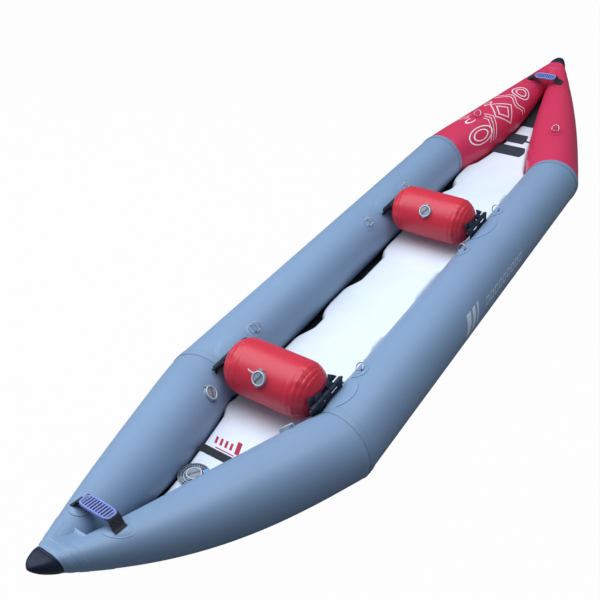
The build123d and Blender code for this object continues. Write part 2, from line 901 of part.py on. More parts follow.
for name, (end, distance) in handle_sites.items():
    y = end.sign * distance
    s = section_at(end, y)
    inboard = section_at(end, y - end.sign)
    climb = (s.z + s.half_height) - (inboard.z + inboard.half_height)
    deck = s.z + s.half_height
    sternward = Vector(0, -1, -end.sign * climb).normalized()
    base = Plane(origin=(0, y, deck), x_dir=(1, 0, 0), z_dir=sternward)
    plan = Plane(origin=base.origin, x_dir=(1, 0, 0), z_dir=base.y_dir)

    rise = 2 * seat_gap + patch_thickness + webbing_thickness / 2
    foot_xs = (s.x + handle_foot, s.x + handle_foot / 2)
    crest_drops = [s.half_height * (1 - sqrt(1 - ((x - s.x) / s.half_width) ** 2)) for x in foot_xs]
    centre_line = [
        *((x, rise - drop) for x, drop in zip(foot_xs, crest_drops)),
        (s.x + foot_margin, rise + sew_rise),
        (handle_half_width - shoulder_inset, handle_height * shoulder_share),
        (grip_flat, handle_height),
    ]
    deck_cutters = [end_core(end, side, 2 * seat_gap + patch_thickness) for side in SIDES.values()]
    band = ribbon(base, centre_line, webbing_thickness, webbing_width)
    with BuildPart() as webbing:
        add(band)
        for cutter in deck_cutters:
            add(cutter, mode=Mode.SUBTRACT)
    save(webbing, f"{name}_handle_webbing")
    print("handle", name, "y", y, "deck", round(deck, 2), "crest x", round(s.x, 1))

    tunnel_width = webbing_width + 2 * lay_gap
    tunnel_height = webbing_thickness + 2 * lay_gap
    mouth_reach = grip_length / 2 - grip_flat + mouth_overlap
    with BuildPart() as grip:
        with BuildSketch(plan.offset(handle_height - grip_thickness / 2)):
            RectangleRounded(grip_length, grip_width, grip_corner)
        extrude(amount=grip_thickness)
        with BuildSketch(plan.offset(handle_height)):
            with GridLocations(slot_pitch, 0, grip_slots, 1):
                SlotOverall(grip_width - 2 * slot_margin, slot_width, rotation=90)
        extrude(amount=grip_thickness, mode=Mode.SUBTRACT)
        with BuildSketch(plan.offset(handle_height - tunnel_height / 2)):
            Rectangle(2 * grip_flat + mouth_overlap, tunnel_width)
        extrude(amount=tunnel_height, mode=Mode.SUBTRACT)
        with BuildSketch(plan.offset(handle_height + tunnel_height / 2)):
            with Locations((grip_length / 2, 0), (-grip_length / 2, 0)):
                Rectangle(2 * mouth_reach, tunnel_width)
        extrude(amount=-grip_thickness, mode=Mode.SUBTRACT)
    save(grip, f"{name}_handle_grip")

    anchor_solids = [
        patch(side, tube_frame(side, y, 0, end), handle_outline, end) for side in SIDES.values()
    ]
    with BuildPart() as anchors:
        add(anchor_solids)
    save(anchors, f"{name}_handle_patches")

# ---- valves ----------------------------------------------------------------------------------

barrel_wall = barrel_radius - chamber_radius
barrel_bottom = flange_height - barrel_depth
mouth_bottom = flange_height - mouth_length
button_gap = 0.3  # below the mouth, so that the mouth itself is empty
web_gap = 0.6  # between the pressed button and the web
button_thickness = 2
web_thickness = 3
web_top = mouth_bottom - button_gap - button_thickness - plunger_travel - web_gap
web_bottom = web_top - web_thickness
seat_radius = 9
hub_radius = 5.5
button_radius = 5
disc_thickness = 2
tab_half_width = 4
ear_width = 3.5
ear_radius = 3
hinge_side_gap = 0.3
flange_root = 5  # sunk under the fabric until it is trimmed to it
barrel_top = 0.5
ear_root = 4  # the ears run this far in from the flange's rim
tab_length = 8
lip_length = 6  # thumb lip opposite the hinge
lip_overlap = 2
pin_height = flange_height + cap_gap + cap_height / 2
pin_half_length = tab_half_width + hinge_side_gap + ear_width


def ring_layer(frame, low, high, radius, hole=0.0, mode=Mode.ADD):
    """Round layer between two heights over the frame, with a hole if given."""
    with BuildSketch(frame.offset(low)) as layer:
        Circle(radius)
        if hole:
            Circle(hole, mode=Mode.SUBTRACT)
    extrude(layer.sketch, amount=high - low, mode=mode)


def hinge_section(frame, start):
    """Plane across the hinge pin: its x runs along the frame's y, its y out of the fabric."""
    origin = frame.origin + frame.x_dir * start
    return Plane(origin=origin, x_dir=frame.y_dir, z_dir=frame.x_dir)


def valve(name, frame, saddle):
    with BuildPart() as body:
        ring_layer(frame, -flange_root, flange_height, flange_radius)
        if saddle:
            add(saddle, mode=Mode.SUBTRACT)
        else:
            ring_layer(frame, -flange_root, seat_gap, 2 * flange_radius, mode=Mode.SUBTRACT)
        for start in (-pin_half_length, pin_half_length - ear_width):
            with BuildSketch(hinge_section(frame, start)):
                with BuildLine():
                    Polyline(
                        (flange_radius - ear_root, flange_height / 3),
                        (flange_radius - ear_root, flange_height),
                        (hinge_reach - ear_radius, flange_height),
                        (hinge_reach - ear_radius, pin_height),
                        (hinge_reach + ear_radius, pin_height),
                        (hinge_reach + ear_radius, flange_height / 3),
                        close=True,
                    )
                make_face()
                with Locations((hinge_reach, pin_height)):
                    Circle(ear_radius)
                    Circle(pin_radius + pin_clearance, mode=Mode.SUBTRACT)
            extrude(amount=ear_width)
        ring_layer(frame, barrel_bottom, barrel_top, barrel_radius)
        ring_layer(frame, barrel_bottom, mouth_bottom, chamber_radius, mode=Mode.SUBTRACT)
        ring_layer(frame, mouth_bottom, flange_height, mouth_radius, mode=Mode.SUBTRACT)
        ring_layer(frame, web_bottom, web_top, barrel_radius - barrel_wall / 2, seat_radius)
        with BuildSketch(frame.offset(web_bottom)):
            Circle(hub_radius)
            for turn in (90, 210, 330):
                with Locations(Location((0, 0, 0), turn)):
                    with Locations((seat_radius / 2 + 0.5, 0)):
                        Rectangle(seat_radius, web_thickness)
            Circle(stem_radius + stem_clearance, mode=Mode.SUBTRACT)
        extrude(amount=web_thickness)
    save(body, f"{name}_valve_body")

    button_top = mouth_bottom - button_gap
    disc_top = web_bottom - lay_gap
    with BuildPart() as plunger:
        ring_layer(frame, button_top - button_thickness, button_top, button_radius)
        ring_layer(frame, disc_top - disc_thickness, button_top, stem_radius)
        ring_layer(frame, disc_top - disc_thickness, disc_top, mouth_radius)
    save(plunger, f"{name}_valve_plunger")

    cap_bottom = flange_height + cap_gap
    with BuildPart() as cap:
        ring_layer(frame, cap_bottom, cap_bottom + cap_height, cap_radius)
        with BuildSketch(hinge_section(frame, -tab_half_width)):
            with Locations((hinge_reach - tab_length / 2, pin_height)):
                Rectangle(tab_length, cap_height)
            with Locations((hinge_reach, pin_height)):
                Circle(cap_height / 2)
        extrude(amount=2 * tab_half_width)
        with BuildSketch(hinge_section(frame, -pin_half_length)):
            with Locations((hinge_reach, pin_height)):
                Circle(pin_radius)
        extrude(amount=2 * pin_half_length)
        with BuildSketch(hinge_section(frame, -1.5 * tab_half_width)):
            with Locations((-cap_radius - lip_length / 2 + lip_overlap, pin_height)):
                Rectangle(lip_length, cap_height)
        extrude(amount=3 * tab_half_width)
    save(cap, f"{name}_valve_cap")

    hinge = frame.origin + frame.y_dir * hinge_reach + frame.z_dir * pin_height
    mouth = frame.origin + frame.z_dir * flange_height
    print(
        "valve", name,
        "mouth", [round(v, 3) for v in mouth], "out", [round(v, 6) for v in frame.z_dir],
        "hinge", [round(v, 3) for v in hinge], "pin", [round(v, 6) for v in frame.x_dir],
    )


saddles = {
    "port_tube": end_core(STERN, -1, seat_gap),
    "starboard_tube": end_core(STERN, +1, seat_gap),
    "stern_thwart": thwart_core(stern_thwart_y, -seat_gap),
    "bow_thwart": thwart_core(bow_thwart_y, -seat_gap),
    "floor": None,
}

for name, frame in valve_frames.items():
    valve(name, frame, saddles[name])
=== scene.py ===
# %% [markdown]
# # An inflatable kayak, modelled and finished in Blender
#
# The real boat is two long air tubes that turn inwards and upwards at their ends, a flat air
# floor between them, and two fat air cushions called thwarts that hold the tubes apart.
# Everything soft is modelled again here, because an air tube is smoother, rounder and more
# puckered than a CAD loft.

# %% Load the frame
import json
import math

import bmesh
import bpy
from mathutils import Matrix, Vector

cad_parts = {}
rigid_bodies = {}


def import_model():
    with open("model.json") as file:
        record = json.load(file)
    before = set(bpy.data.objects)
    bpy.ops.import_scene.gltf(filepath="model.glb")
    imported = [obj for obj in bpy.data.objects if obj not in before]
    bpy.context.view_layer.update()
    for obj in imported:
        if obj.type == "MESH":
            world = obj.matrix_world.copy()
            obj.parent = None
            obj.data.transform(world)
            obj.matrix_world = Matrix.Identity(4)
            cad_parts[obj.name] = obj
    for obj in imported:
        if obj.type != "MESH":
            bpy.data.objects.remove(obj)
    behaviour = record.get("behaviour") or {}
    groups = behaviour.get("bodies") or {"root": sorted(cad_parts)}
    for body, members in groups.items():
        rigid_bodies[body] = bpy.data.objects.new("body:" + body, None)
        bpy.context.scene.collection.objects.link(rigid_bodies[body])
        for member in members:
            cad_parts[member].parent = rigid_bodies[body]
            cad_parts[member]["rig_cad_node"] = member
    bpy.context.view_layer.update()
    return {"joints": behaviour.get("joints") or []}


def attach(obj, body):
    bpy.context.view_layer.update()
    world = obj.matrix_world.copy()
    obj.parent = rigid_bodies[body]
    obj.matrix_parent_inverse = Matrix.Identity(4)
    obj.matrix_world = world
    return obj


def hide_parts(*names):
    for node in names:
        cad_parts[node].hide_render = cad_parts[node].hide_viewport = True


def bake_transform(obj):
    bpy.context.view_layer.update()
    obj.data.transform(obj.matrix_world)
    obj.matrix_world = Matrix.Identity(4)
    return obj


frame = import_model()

# %% [markdown]
# ## A few driving sizes
#
# Every length is in metres. The boat points along Y, with the bow at +Y, and stands on Z = 0.
# The two ends have the same make, so one record of numbers describes each of them.

# %% Driving sizes
TUBE_RADIUS = 0.122
TUBE_SPACING = 0.289
TUBE_HEIGHT = 0.124
NOSE = 1.815


class BoatEnd:
    """One end of the boat: which way it points, where its tubes bend, and how far they climb."""

    def __init__(self, sign, kink, rise):
        self.sign = sign
        self.kink = kink
        self.rise = rise

    def along(self, y):
        """How far y has gone from the bend, 0, to the nose, 1."""
        return (self.sign * y - self.kink) / (NOSE - self.kink)


stern = BoatEnd(-1, 0.953, 0.257)
bow = BoatEnd(+1, 1.005, 0.246)
SIDES = {"port": -1, "starboard": +1}

# %% [markdown]
# ## Shader maths that reads like maths
#
# A procedural material is a small program made of nodes. Wiring it by hand hides the formula, so
# one class wraps a socket and lets Python's own operators add the Math nodes.


# %% Sockets with operators
class Wire:
    """The output of a node, with Python's operators."""

    def __init__(self, finish, socket):
        self.finish = finish
        self.socket = socket

    def maths(self, operation, *values):
        inputs = dict(enumerate(values))
        return self.finish.node("ShaderNodeMath", {"operation": operation}, inputs)

    def __add__(self, other):
        return self.maths("ADD", self, other)

    __radd__ = __add__

    def __sub__(self, other):
        return self.maths("SUBTRACT", self, other)

    def __rsub__(self, other):
        return self.maths("SUBTRACT", other, self)

    def __mul__(self, other):
        return self.maths("MULTIPLY", self, other)

    __rmul__ = __mul__

    def __truediv__(self, other):
        return self.maths("DIVIDE", self, other)

    def __abs__(self):
        return self.maths("ABSOLUTE", self)

    def __mod__(self, period):
        return self.maths("FLOORED_MODULO", self, period)

    def sine(self):
        return self.maths("SINE", self)

    def most(self, other):
        return self.maths("MAXIMUM", self, other)

    def root(self):
        return self.maths("SQRT", self)

    def under(self, edge, soft):
        """1 where the value is below edge, 0 above it, with a soft step between."""
        settings = {"interpolation_type": "SMOOTHSTEP"}
        inputs = {"Value": self, "From Min": edge - soft, "From Max": edge + soft}
        inputs |= {"To Min": 1.0, "To Max": 0.0}
        return self.finish.node("ShaderNodeMapRange", settings, inputs)

    def between(self, low, high, soft):
        return self.under(high, soft) * (1 - self.under(low, soft))

    def line(self, width=0.0046):
        """1 along the line where the value is zero, if the value is a length."""
        return abs(self).under(width / 2, 0.0006)


# %% A board of nodes
class Board:
    """A node tree, and the one method that adds any node to it."""

    def __init__(self, tree):
        self.tree = tree

    def node(self, kind, settings=None, inputs=None, output=0):
        made = self.tree.nodes.new(kind)
        for key, value in (settings or {}).items():
            if key == "stops":
                for stop, (position, colour) in zip(self.stops(made, len(value)), value):
                    stop.position = position
                    stop.color = (*colour, 1)
            else:
                setattr(made, key, value)
        for key, value in (inputs or {}).items():
            self.feed(made.inputs[key], value)
        return Wire(self, made.outputs[output])

    @staticmethod
    def stops(ramp_node, count):
        elements = ramp_node.color_ramp.elements
        while len(elements) < count:
            elements.new(0.5)
        return elements

    def feed(self, socket, value):
        if isinstance(value, Wire):
            self.tree.links.new(value.socket, socket)
        elif isinstance(value, tuple) and len(value) == 3 and socket.type == "RGBA":
            socket.default_value = (*value, 1)
        else:
            socket.default_value = value

    def show(self, output_node, shader):
        """Sends a shader to the tree's output."""
        self.tree.links.new(shader.socket, self.tree.nodes[output_node].inputs["Surface"])


# %% A finish, which is one material
class Finish(Board):
    """A material on a Principled shader."""

    def __init__(self, name):
        self.material = bpy.data.materials.new(name)
        self.material.use_nodes = True
        super().__init__(self.material.node_tree)
        self.shader = self.tree.nodes["Principled BSDF"]
        self.object_place = self.node("ShaderNodeTexCoord", output="Object")
        self.surface_place = self.node("ShaderNodeTexCoord", output="UV")

    def set(self, **values):
        """Base_Color=..., Roughness=... and so on, straight onto the shader."""
        for key, value in values.items():
            self.feed(self.shader.inputs[key.replace("_", " ")], value)
        return self

    def mix(self, factor, first, second):
        colours = {0: factor, 6: first, 7: second}
        return self.node("ShaderNodeMix", {"data_type": "RGBA"}, colours, output=2)

    def noise(self, scale, detail=2.0, roughness=0.5, place=None, stretch=(1, 1, 1)):
        place = place or self.object_place
        stretched = self.node("ShaderNodeMapping", inputs={"Vector": place, "Scale": stretch})
        inputs = {"Vector": stretched, "Scale": scale, "Detail": detail, "Roughness": roughness}
        return self.node("ShaderNodeTexNoise", inputs=inputs)

    def axis(self, index, place=None):
        place = place or self.object_place
        return self.node("ShaderNodeSeparateXYZ", inputs={0: place}, output=index)

    def bumped(self, height, distance, strength=1.0):
        inputs = {"Height": height, "Distance": distance, "Strength": strength}
        return self.set(Normal=self.node("ShaderNodeBump", inputs=inputs))


# %% [markdown]
# ## Finishes
#
# The tubes are polyester cloth coated with soft plastic. Close up it has a fine woven grain under
# a satin skin; further off it shows faint clouds of lighter and darker colour and soft handling
# marks. One function makes it in any colour, so that the grey and red panels belong together.


# %% Coated fabric
GRAIN = 1400.0


def woven_grain(finish):
    """Threads crossing at right angles, seen faintly through the coating."""
    x, y, z = (finish.axis(i) for i in range(3))
    threads_along = (y * GRAIN).sine()
    threads_across = ((x + z) * GRAIN).sine()
    return threads_along * threads_across


def coated_colour(finish, colour, clouds=0.10):
    """The colour with slow, faint changes over the surface."""
    dark = tuple(c * (1 - clouds) for c in colour)
    light = tuple(min(1.0, c * (1 + clouds)) for c in colour)
    drift = finish.noise(3.5, detail=3.0)
    marks = finish.noise(26.0, detail=4.0, roughness=0.65)
    return finish.mix(drift * 0.75 + marks * 0.25, dark, light)


def coated_fabric(name, colour, roughness=0.42, clouds=0.10, print_mask=None, ink=(0.80, 0.77, 0.78)):
    """Coated cloth in a colour; print_mask draws where the ink of a printed design is."""
    finish = Finish(name)
    scuffs = finish.noise(60.0, detail=5.0, roughness=0.7, stretch=(1, 0.25, 1))
    height = woven_grain(finish) * 0.12 + finish.noise(9.0, detail=2.0) * 0.9 + scuffs * 0.15
    cloth = coated_colour(finish, colour, clouds)
    finish.set(
        Base_Color=finish.mix(print_mask(finish), cloth, ink) if print_mask else cloth,
        Roughness=roughness + (scuffs - 0.5) * 0.22,
        Specular_IOR_Level=0.42,
    )
    return finish.bumped(height, 0.0006, 0.35)


GREY = (0.205, 0.292, 0.425)
RED = (0.600, 0.029, 0.088)
tube_grey = coated_fabric("tube grey", GREY)
tube_red = coated_fabric("tube red", RED, clouds=0.07)
tape_grey = coated_fabric("tape grey", tuple(c * 0.93 for c in GREY), roughness=0.46)
patch_grey = coated_fabric("patch grey", tuple(c * 1.04 for c in GREY), roughness=0.4)
patch_red = coated_fabric("patch red", tuple(c * 0.92 for c in RED), roughness=0.4)
flap_navy = coated_fabric("flap navy", (0.008, 0.012, 0.030), roughness=0.58)
# hull cloth darkened to near black: partly the cloth's own colour, partly painted shade for the gaps between
# the floor and the tubes
hull_dark = coated_fabric("hull painted shade", (0.030, 0.037, 0.049), roughness=0.6)
print("coated fabrics made")

# %% [markdown]
# Two panels carry a screen print of plain shapes. The print is laid out in lengths: how far along
# the boat, from the object coordinates, and how far round the tube, from the panel's UV map. An
# outline is where a shape's distance is near zero, so nested outlines come from one distance.


# %% Screen prints
PRINTED_RADIUS = 0.118
SHARP = 0.0006


def print_place(finish, start, middle_turn):
    """Metres along the boat from start, and metres round the tube from a turn, in degrees."""
    along = finish.axis(1) - start
    turn = (finish.axis(1, finish.surface_place) + (0.5 - middle_turn / 360)) % 1.0 - 0.5
    return along, turn * (2 * math.pi * PRINTED_RADIUS)


def oval(p, q, centre, half):
    """Distance from an oval's edge."""
    u, v = (p - centre[0]) / half[0], (q - centre[1]) / half[1]
    return ((u * u + v * v).root() - 1) * min(half)


def diamond(p, q, centre, half):
    """Distance from the edge of a square that stands on its corner."""
    return (abs(p - centre[0]) / half[0] + abs(q - centre[1]) / half[1] - 1) * (min(half) * 0.72)


def all_of(masks):
    """One mask that shows wherever any of the masks does."""
    first, *others = masks
    for mask in others:
        first = first.most(mask)
    return first


def bow_print(finish):
    """White outlines on the inner side of the port bow tube; each shape is drawn more than once."""
    p, q = print_place(finish, 1.03, 0)
    chevron = p - 0.232 + abs(q - 0.060) * 0.55
    wave = p - 0.412 - (q * 52).sine() * 0.013
    shapes = (
        (oval(p, q, (0.115, 0.105), (0.075, 0.040)), (0, 0.016)),
        (diamond(p, q, (0.320, 0.070), (0.062, 0.080)), (0, 0.020)),
        (oval(p, q, (0.490, 0.050), (0.036, 0.058)), (0, 0.015)),
        (chevron, (0, 0.020, -0.020)),
        (wave, (0, -0.018)),
        (oval(p, q, (0.150, 0.010), (0.030, 0.014)), (0,)),
        (oval(p, q, (0.330, -0.030), (0.020, 0.012)), (0,)),
    )
    outlines = all_of([(shape + inset).line() for shape, insets in shapes for inset in insets])
    return outlines * q.between(-0.070, 0.165, 0.001) * p.between(0.02, 0.56, 0.001)


def side_print(finish):
    """Three slanted bars and a row of small outlined ones on the starboard tube's outer side."""
    p, q = print_place(finish, -0.245, -74)
    slanted = p - q * 0.5
    widths = ((0.0, 0.034), (0.050, 0.074), (0.090, 0.102))
    bars = all_of([slanted.between(low, high, SHARP) for low, high in widths])
    bars = bars * q.between(-0.036, 0.036, SHARP)
    step = slanted % 0.042
    outer = step.between(0.006, 0.034, SHARP) * q.between(-0.014, 0.014, SHARP)
    inner = step.between(0.0095, 0.0305, SHARP) * q.between(-0.0105, 0.0105, SHARP)
    return bars.most((outer - inner) * slanted.between(0.168, 0.546, SHARP))


tube_red_printed = coated_fabric("tube red printed", RED, clouds=0.07, print_mask=bow_print)
tube_grey_printed = coated_fabric("tube grey printed", GREY, print_mask=side_print, ink=(0.62, 0.67, 0.74))

# %% [markdown]
# The floor is drop-stitch cloth: thousands of threads tie its top to its bottom, and each row of
# them leaves a shallow dimple. Cells of a Voronoi texture, a few millimetres across, make those
# dimples as bump, while the colour stays pale with a hint of grey where feet have been.


# %% Drop-stitch floor
def stern_marks(finish):
    """Slanted red bars and a rule, printed on the floor ahead of the stern strap."""
    x, y = finish.axis(0), finish.axis(1)
    slanted = x + (y + 1.15) * 0.45
    bars = (slanted % 0.020).under(0.010, 0.0004) * slanted.between(-0.062, 0.018, 0.0005)
    tall = slanted.between(0.022, 0.040, 0.0005) * y.between(-1.172, -1.118, 0.0005)
    rule = x.between(-0.035, 0.040, 0.0005) * y.between(-1.183, -1.178, 0.0005)
    return (bars * y.between(-1.166, -1.136, 0.0005)).most(tall).most(rule)


def floor_cloth(name):
    finish = Finish(name)
    dimples = finish.node(
        "ShaderNodeTexVoronoi",
        {"feature": "SMOOTH_F1"},
        {"Vector": finish.object_place, "Scale": 190.0, "Smoothness": 0.6},
    )
    wear = finish.noise(7.0, detail=4.0, roughness=0.6)
    cloth = finish.mix(wear, (0.66, 0.69, 0.76), (0.78, 0.80, 0.85))
    finish.set(
        Base_Color=finish.mix(stern_marks(finish), cloth, (0.42, 0.020, 0.065)),
        Roughness=0.55 + wear * 0.12,
        Specular_IOR_Level=0.35,
    )
    return finish.bumped(dimples * 0.6 + wear * 0.6, 0.0009, 0.45)


floor_pale = floor_cloth("floor cloth")

# %% [markdown]
# Webbing is a narrow woven band. Its ribs run across it, a little under two millimetres apart, and
# they show as bump, as painted shade between the ribs and as a painted highlight on each rib's top.


# %% Webbing, rubber, plastic and steel
def webbing(name, colour, pitch=0.0018):
    finish = Finish(name)
    x, y, z = (finish.axis(i) for i in range(3))
    turns = 2 * math.pi / pitch
    ribs = ((x + z * 0.6) * turns).sine() * 0.5 + 0.5
    wefts = (y * turns * 1.6).sine() * 0.5 + 0.5
    rib_relief_and_shade = ribs * 0.65 + wefts * 0.35
    # colour follows the ribs: painted shade between them and a painted highlight on each rib's top
    finish.set(
        Base_Color=finish.mix(rib_relief_and_shade, tuple(c * 0.45 for c in colour), colour),
        Roughness=0.78 - rib_relief_and_shade * 0.12,
        Specular_IOR_Level=0.3,
    )
    return finish.bumped(rib_relief_and_shade, 0.0005, 0.7)


def moulded(name, colour, roughness, grain_scale=420.0, shift=0.12, specular=0.5):
    """Moulded rubber or plastic: even colour, a fine pebbled skin and a few dull patches."""
    finish = Finish(name)
    pebbles = finish.noise(grain_scale, detail=3.0)
    dull = finish.noise(24.0, detail=3.0)
    dark = tuple(c * (1 - shift) for c in colour)
    finish.set(
        Base_Color=finish.mix(dull, dark, colour),
        Roughness=roughness + (dull - 0.5) * 0.2,
        Specular_IOR_Level=specular,
    )
    return finish.bumped(pebbles, 0.0003, 0.3)


def steel(name):
    """Polished stainless wire with fine drawn lines and a few dull spots."""
    finish = Finish(name)
    spots = finish.noise(160.0, detail=4.0)
    lines = finish.noise(900.0, detail=2.0, stretch=(1, 0.1, 1))
    finish.set(
        Base_Color=finish.mix(spots, (0.30, 0.31, 0.33), (0.52, 0.53, 0.55)),
        Metallic=1.0,
        Roughness=0.22 + spots * 0.16,
    )
    return finish.bumped(lines, 0.0001, 0.3)


webbing_black = webbing("webbing black", (0.030, 0.032, 0.040))
band_slate = webbing("band slate", (0.045, 0.055, 0.075), pitch=0.0026)
nose_rubber = moulded("nose rubber", (0.010, 0.016, 0.036), 0.44, specular=0.22)
wear_rubber = moulded("wear rubber", (0.035, 0.037, 0.042), 0.7)
valve_grey = moulded("valve grey", (0.30, 0.34, 0.40), 0.38)
valve_dark = moulded("valve dark", (0.045, 0.050, 0.060), 0.45)
grip_lilac = moulded("grip lilac", (0.23, 0.28, 0.64), 0.46, specular=0.35)
rod_black = moulded("rod black", (0.020, 0.022, 0.028), 0.5)
ring_steel = steel("ring steel")
print(len(bpy.data.materials), "materials so far")

# %% [markdown]
# ## The shape of an air tube
#
# Seen straight across the boat, an air tube's end is an ellipse that shrinks and climbs towards
# the nose. A cubic in the distance from the bend gives each of its four numbers. Near the bend
# the tube is still a plain cylinder, only turned by twenty degrees, so the ellipse there is a
# circle stretched in the direction of the turn, and one blends into the other.


# %% Sections of a tube
def cubic(u, linear, square, cube):
    return linear * u + square * u**2 + cube * u**3


def section(end, u):
    """Centre x and z, half width and half height of the starboard tube at u."""
    x = TUBE_SPACING * (1 + cubic(u, -1.024, 0.330, -0.253))
    z = TUBE_HEIGHT + end.rise * cubic(u, 0.414, 0.279, 0.307)
    half_width = TUBE_RADIUS * (1.064 + cubic(u, 0.107, -0.713, -0.221))
    half_height = TUBE_RADIUS * (1.024 + cubic(u, 0.090, -0.471, -0.380))
    return x, z, half_width, half_height


def turn_of(end):
    """Direction across the boat in which the starboard tube bends, and half the bend's angle."""
    inward = Vector((-1.024 * TUBE_SPACING, 0.414 * end.rise))
    angle = math.atan(inward.length / (NOSE - end.kink))
    return inward.normalized(), angle / 2


def smooth(value, low, high):
    t = min(1.0, max(0.0, (value - low) / (high - low)))
    return t * t * (3 - 2 * t)


def mitre(end, angle):
    """Y of the seam, on a cylinder, at an angle from straight up towards the middle."""
    inward, half_turn = turn_of(end)
    outward = Vector((-math.sin(angle), math.cos(angle)))
    return end.sign * (end.kink - math.tan(half_turn) * TUBE_RADIUS * outward.dot(inward))


def pinch(distance):
    """A glued seam can't stretch, so the air swells the fabric on both sides of it."""
    return 1 - 0.011 * math.exp(-((distance / 0.014) ** 2)) + 0.004 * math.exp(-((distance / 0.05) ** 2))


def skin(side, y, angle, lift=0.0):
    """Point on a tube's fabric, raised by lift; the angle runs from the top to the middle."""
    end = stern if y < 0 else bow
    across = Vector((-math.sin(angle), math.cos(angle)))
    seam_distance = abs(y - mitre(end, angle))
    radius = TUBE_RADIUS * pinch(seam_distance) + lift
    if end.sign * (y - mitre(end, angle)) <= 0:
        return Vector((side * (TUBE_SPACING + radius * across.x), y, TUBE_HEIGHT + radius * across.y))
    u = end.along(y)
    x, z, half_width, half_height = section(end, u)
    inward, half_turn = turn_of(end)
    stretch = 1 / math.cos(2 * half_turn) - 1
    turned = radius * (across + inward * stretch * across.dot(inward))
    shape = Vector(((half_width + lift) * across.x, (half_height + lift) * across.y))
    offset = turned.lerp(shape, smooth(u, 0.0, 0.16))
    px = max(x + offset.x, 0.0004 - lift)
    return Vector((side * px, y, z + offset.y))



print("bend at the stern", round(math.degrees(2 * turn_of(stern)[1]), 1), "degrees")

# %% [markdown]
# ## From a flat grid to a fabric panel
#
# A coated panel starts flat on the cutting table, so a flat grid is a natural start here too. The
# grid operator makes it, with its UV map, and each vertex is then moved to its place on the boat.
# Where a panel closes on itself, merging the doubled vertices glues the seam.


# %% Panels
def panel(along, around, place, closed=False, thickness=0.0, fill=True):
    """A bmesh grid whose corner-to-corner coordinates s and t are sent through place(s, t)."""
    shape = bmesh.new()
    shape.loops.layers.uv.new("UVMap")
    bmesh.ops.create_grid(shape, x_segments=along, y_segments=around, size=0.5, calc_uvs=True)
    for vertex in shape.verts:
        vertex.co = place(vertex.co.x + 0.5, vertex.co.y + 0.5)
    if closed:
        bmesh.ops.remove_doubles(shape, verts=shape.verts, dist=1e-6)
        if fill:
            rims = [edge for edge in shape.edges if edge.is_boundary]
            bmesh.ops.holes_fill(shape, edges=rims, sides=0)
    bmesh.ops.recalc_face_normals(shape, faces=shape.faces)
    if thickness:
        bmesh.ops.solidify(shape, geom=shape.faces, thickness=-thickness)
        bmesh.ops.recalc_face_normals(shape, faces=shape.faces)
    return shape


def piece(name, shape, finish, record_slot, nodes=(), body="hull", bend=None, sharp=math.radians(50)):
    """Turns a bmesh into an object of the boat that stands for CAD nodes.

    It rides on a body; with a bend, its transform is baked and it is left on no body.
    """
    mesh = bpy.data.meshes.new(name)
    shape.to_mesh(mesh)
    shape.free()
    mesh.materials.append(finish.material)
    mesh.shade_smooth()
    mesh.set_sharp_from_angle(angle=sharp)
    made = bpy.data.objects.new(name, mesh)
    bpy.context.scene.collection.objects.link(made)
    if nodes:
        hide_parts(*nodes)
    if bend:
        moving_body, start, end = bend
        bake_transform(made)
        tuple(start)
        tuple(end)
    else:
        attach(made, body)
    return made


# %% [markdown]
# ## Tubes
#
# Each side is three panels: stern end, middle and bow end. They meet on a slanting plane that
# halves the bend, as two pipes do in a mitre joint. The rows of vertices crowd towards the seams,
# where the fabric swells and pinches.

# %% Build the tubes
AROUND = 112


def crowded(s):
    """Spreads rows so that they crowd towards both ends."""
    return 0.5 - 0.5 * math.cos(math.pi * s)


def middle_panel(side):
    def place(s, t):
        angle = 2 * math.pi * t
        y = mitre(stern, angle) + crowded(s) * (mitre(bow, angle) - mitre(stern, angle))
        return skin(side, y, angle)

    return panel(150, AROUND, place, closed=True)


def end_panel(side, end):
    def place(s, t):
        angle = 2 * math.pi * t
        seam = mitre(end, angle) + end.sign * 1e-5
        y = seam + (1 - math.cos(math.pi / 2 * s)) * (end.sign * NOSE - seam)
        return skin(side, y, angle)

    return panel(120, AROUND, place, closed=True)


middle_finish = {"port": tube_grey, "starboard": tube_grey_printed}
bow_finish = {"port": tube_red_printed, "starboard": tube_red}
for name, side in SIDES.items():
    middle_node = f"{name}_tube_middle"
    piece(f"{name}_middle_tube", middle_panel(side), middle_finish[name], "tube_grey", [middle_node])
    piece(f"{name}_stern_tube", end_panel(side, stern), tube_grey, "tube_grey", [f"{name}_tube_stern"])
    piece(f"{name}_bow_tube", end_panel(side, bow), bow_finish[name], "tube_red", [f"{name}_tube_bow"])
print("six tube panels made")

# %% [markdown]
# ## Glued-on pieces
#
# Tapes and patches are cut from the same cloth and glued over the tubes. Each is a skin that
# follows the tube at a small lift. Most of them are doubled: a smaller patch lies on a larger one,
# and each edge shows as a fine step. A function of the distance from the middle gives that step.


# %% Seam tapes
TAPE_WIDTH = 0.030
TAPE_LIFT = 0.0010


def seam_tape(side, end):
    """Band over the middle tube's side of a seam, which follows the seam's pinch."""

    def place(s, t):
        angle = 2 * math.pi * t
        y = mitre(end, angle) - end.sign * (TAPE_WIDTH * s + 0.0003)
        return skin(side, y, angle, TAPE_LIFT)

    return panel(14, AROUND, place, closed=True, thickness=0.0007, fill=False)


def gather(shapes):
    """One bmesh holding all the shapes."""
    whole = bmesh.new()
    for shape in shapes:
        carrier = bpy.data.meshes.new("carrier")
        shape.to_mesh(carrier)
        shape.free()
        whole.from_mesh(carrier)
        bpy.data.meshes.remove(carrier)
    return whole


for end_name, end in (("stern", stern), ("bow", bow)):
    tapes = gather([seam_tape(side, end) for side in SIDES.values()])
    piece(f"{end_name}_seam_bands", tapes, tape_grey, "tape_grey", [f"{end_name}_seam_tapes"])


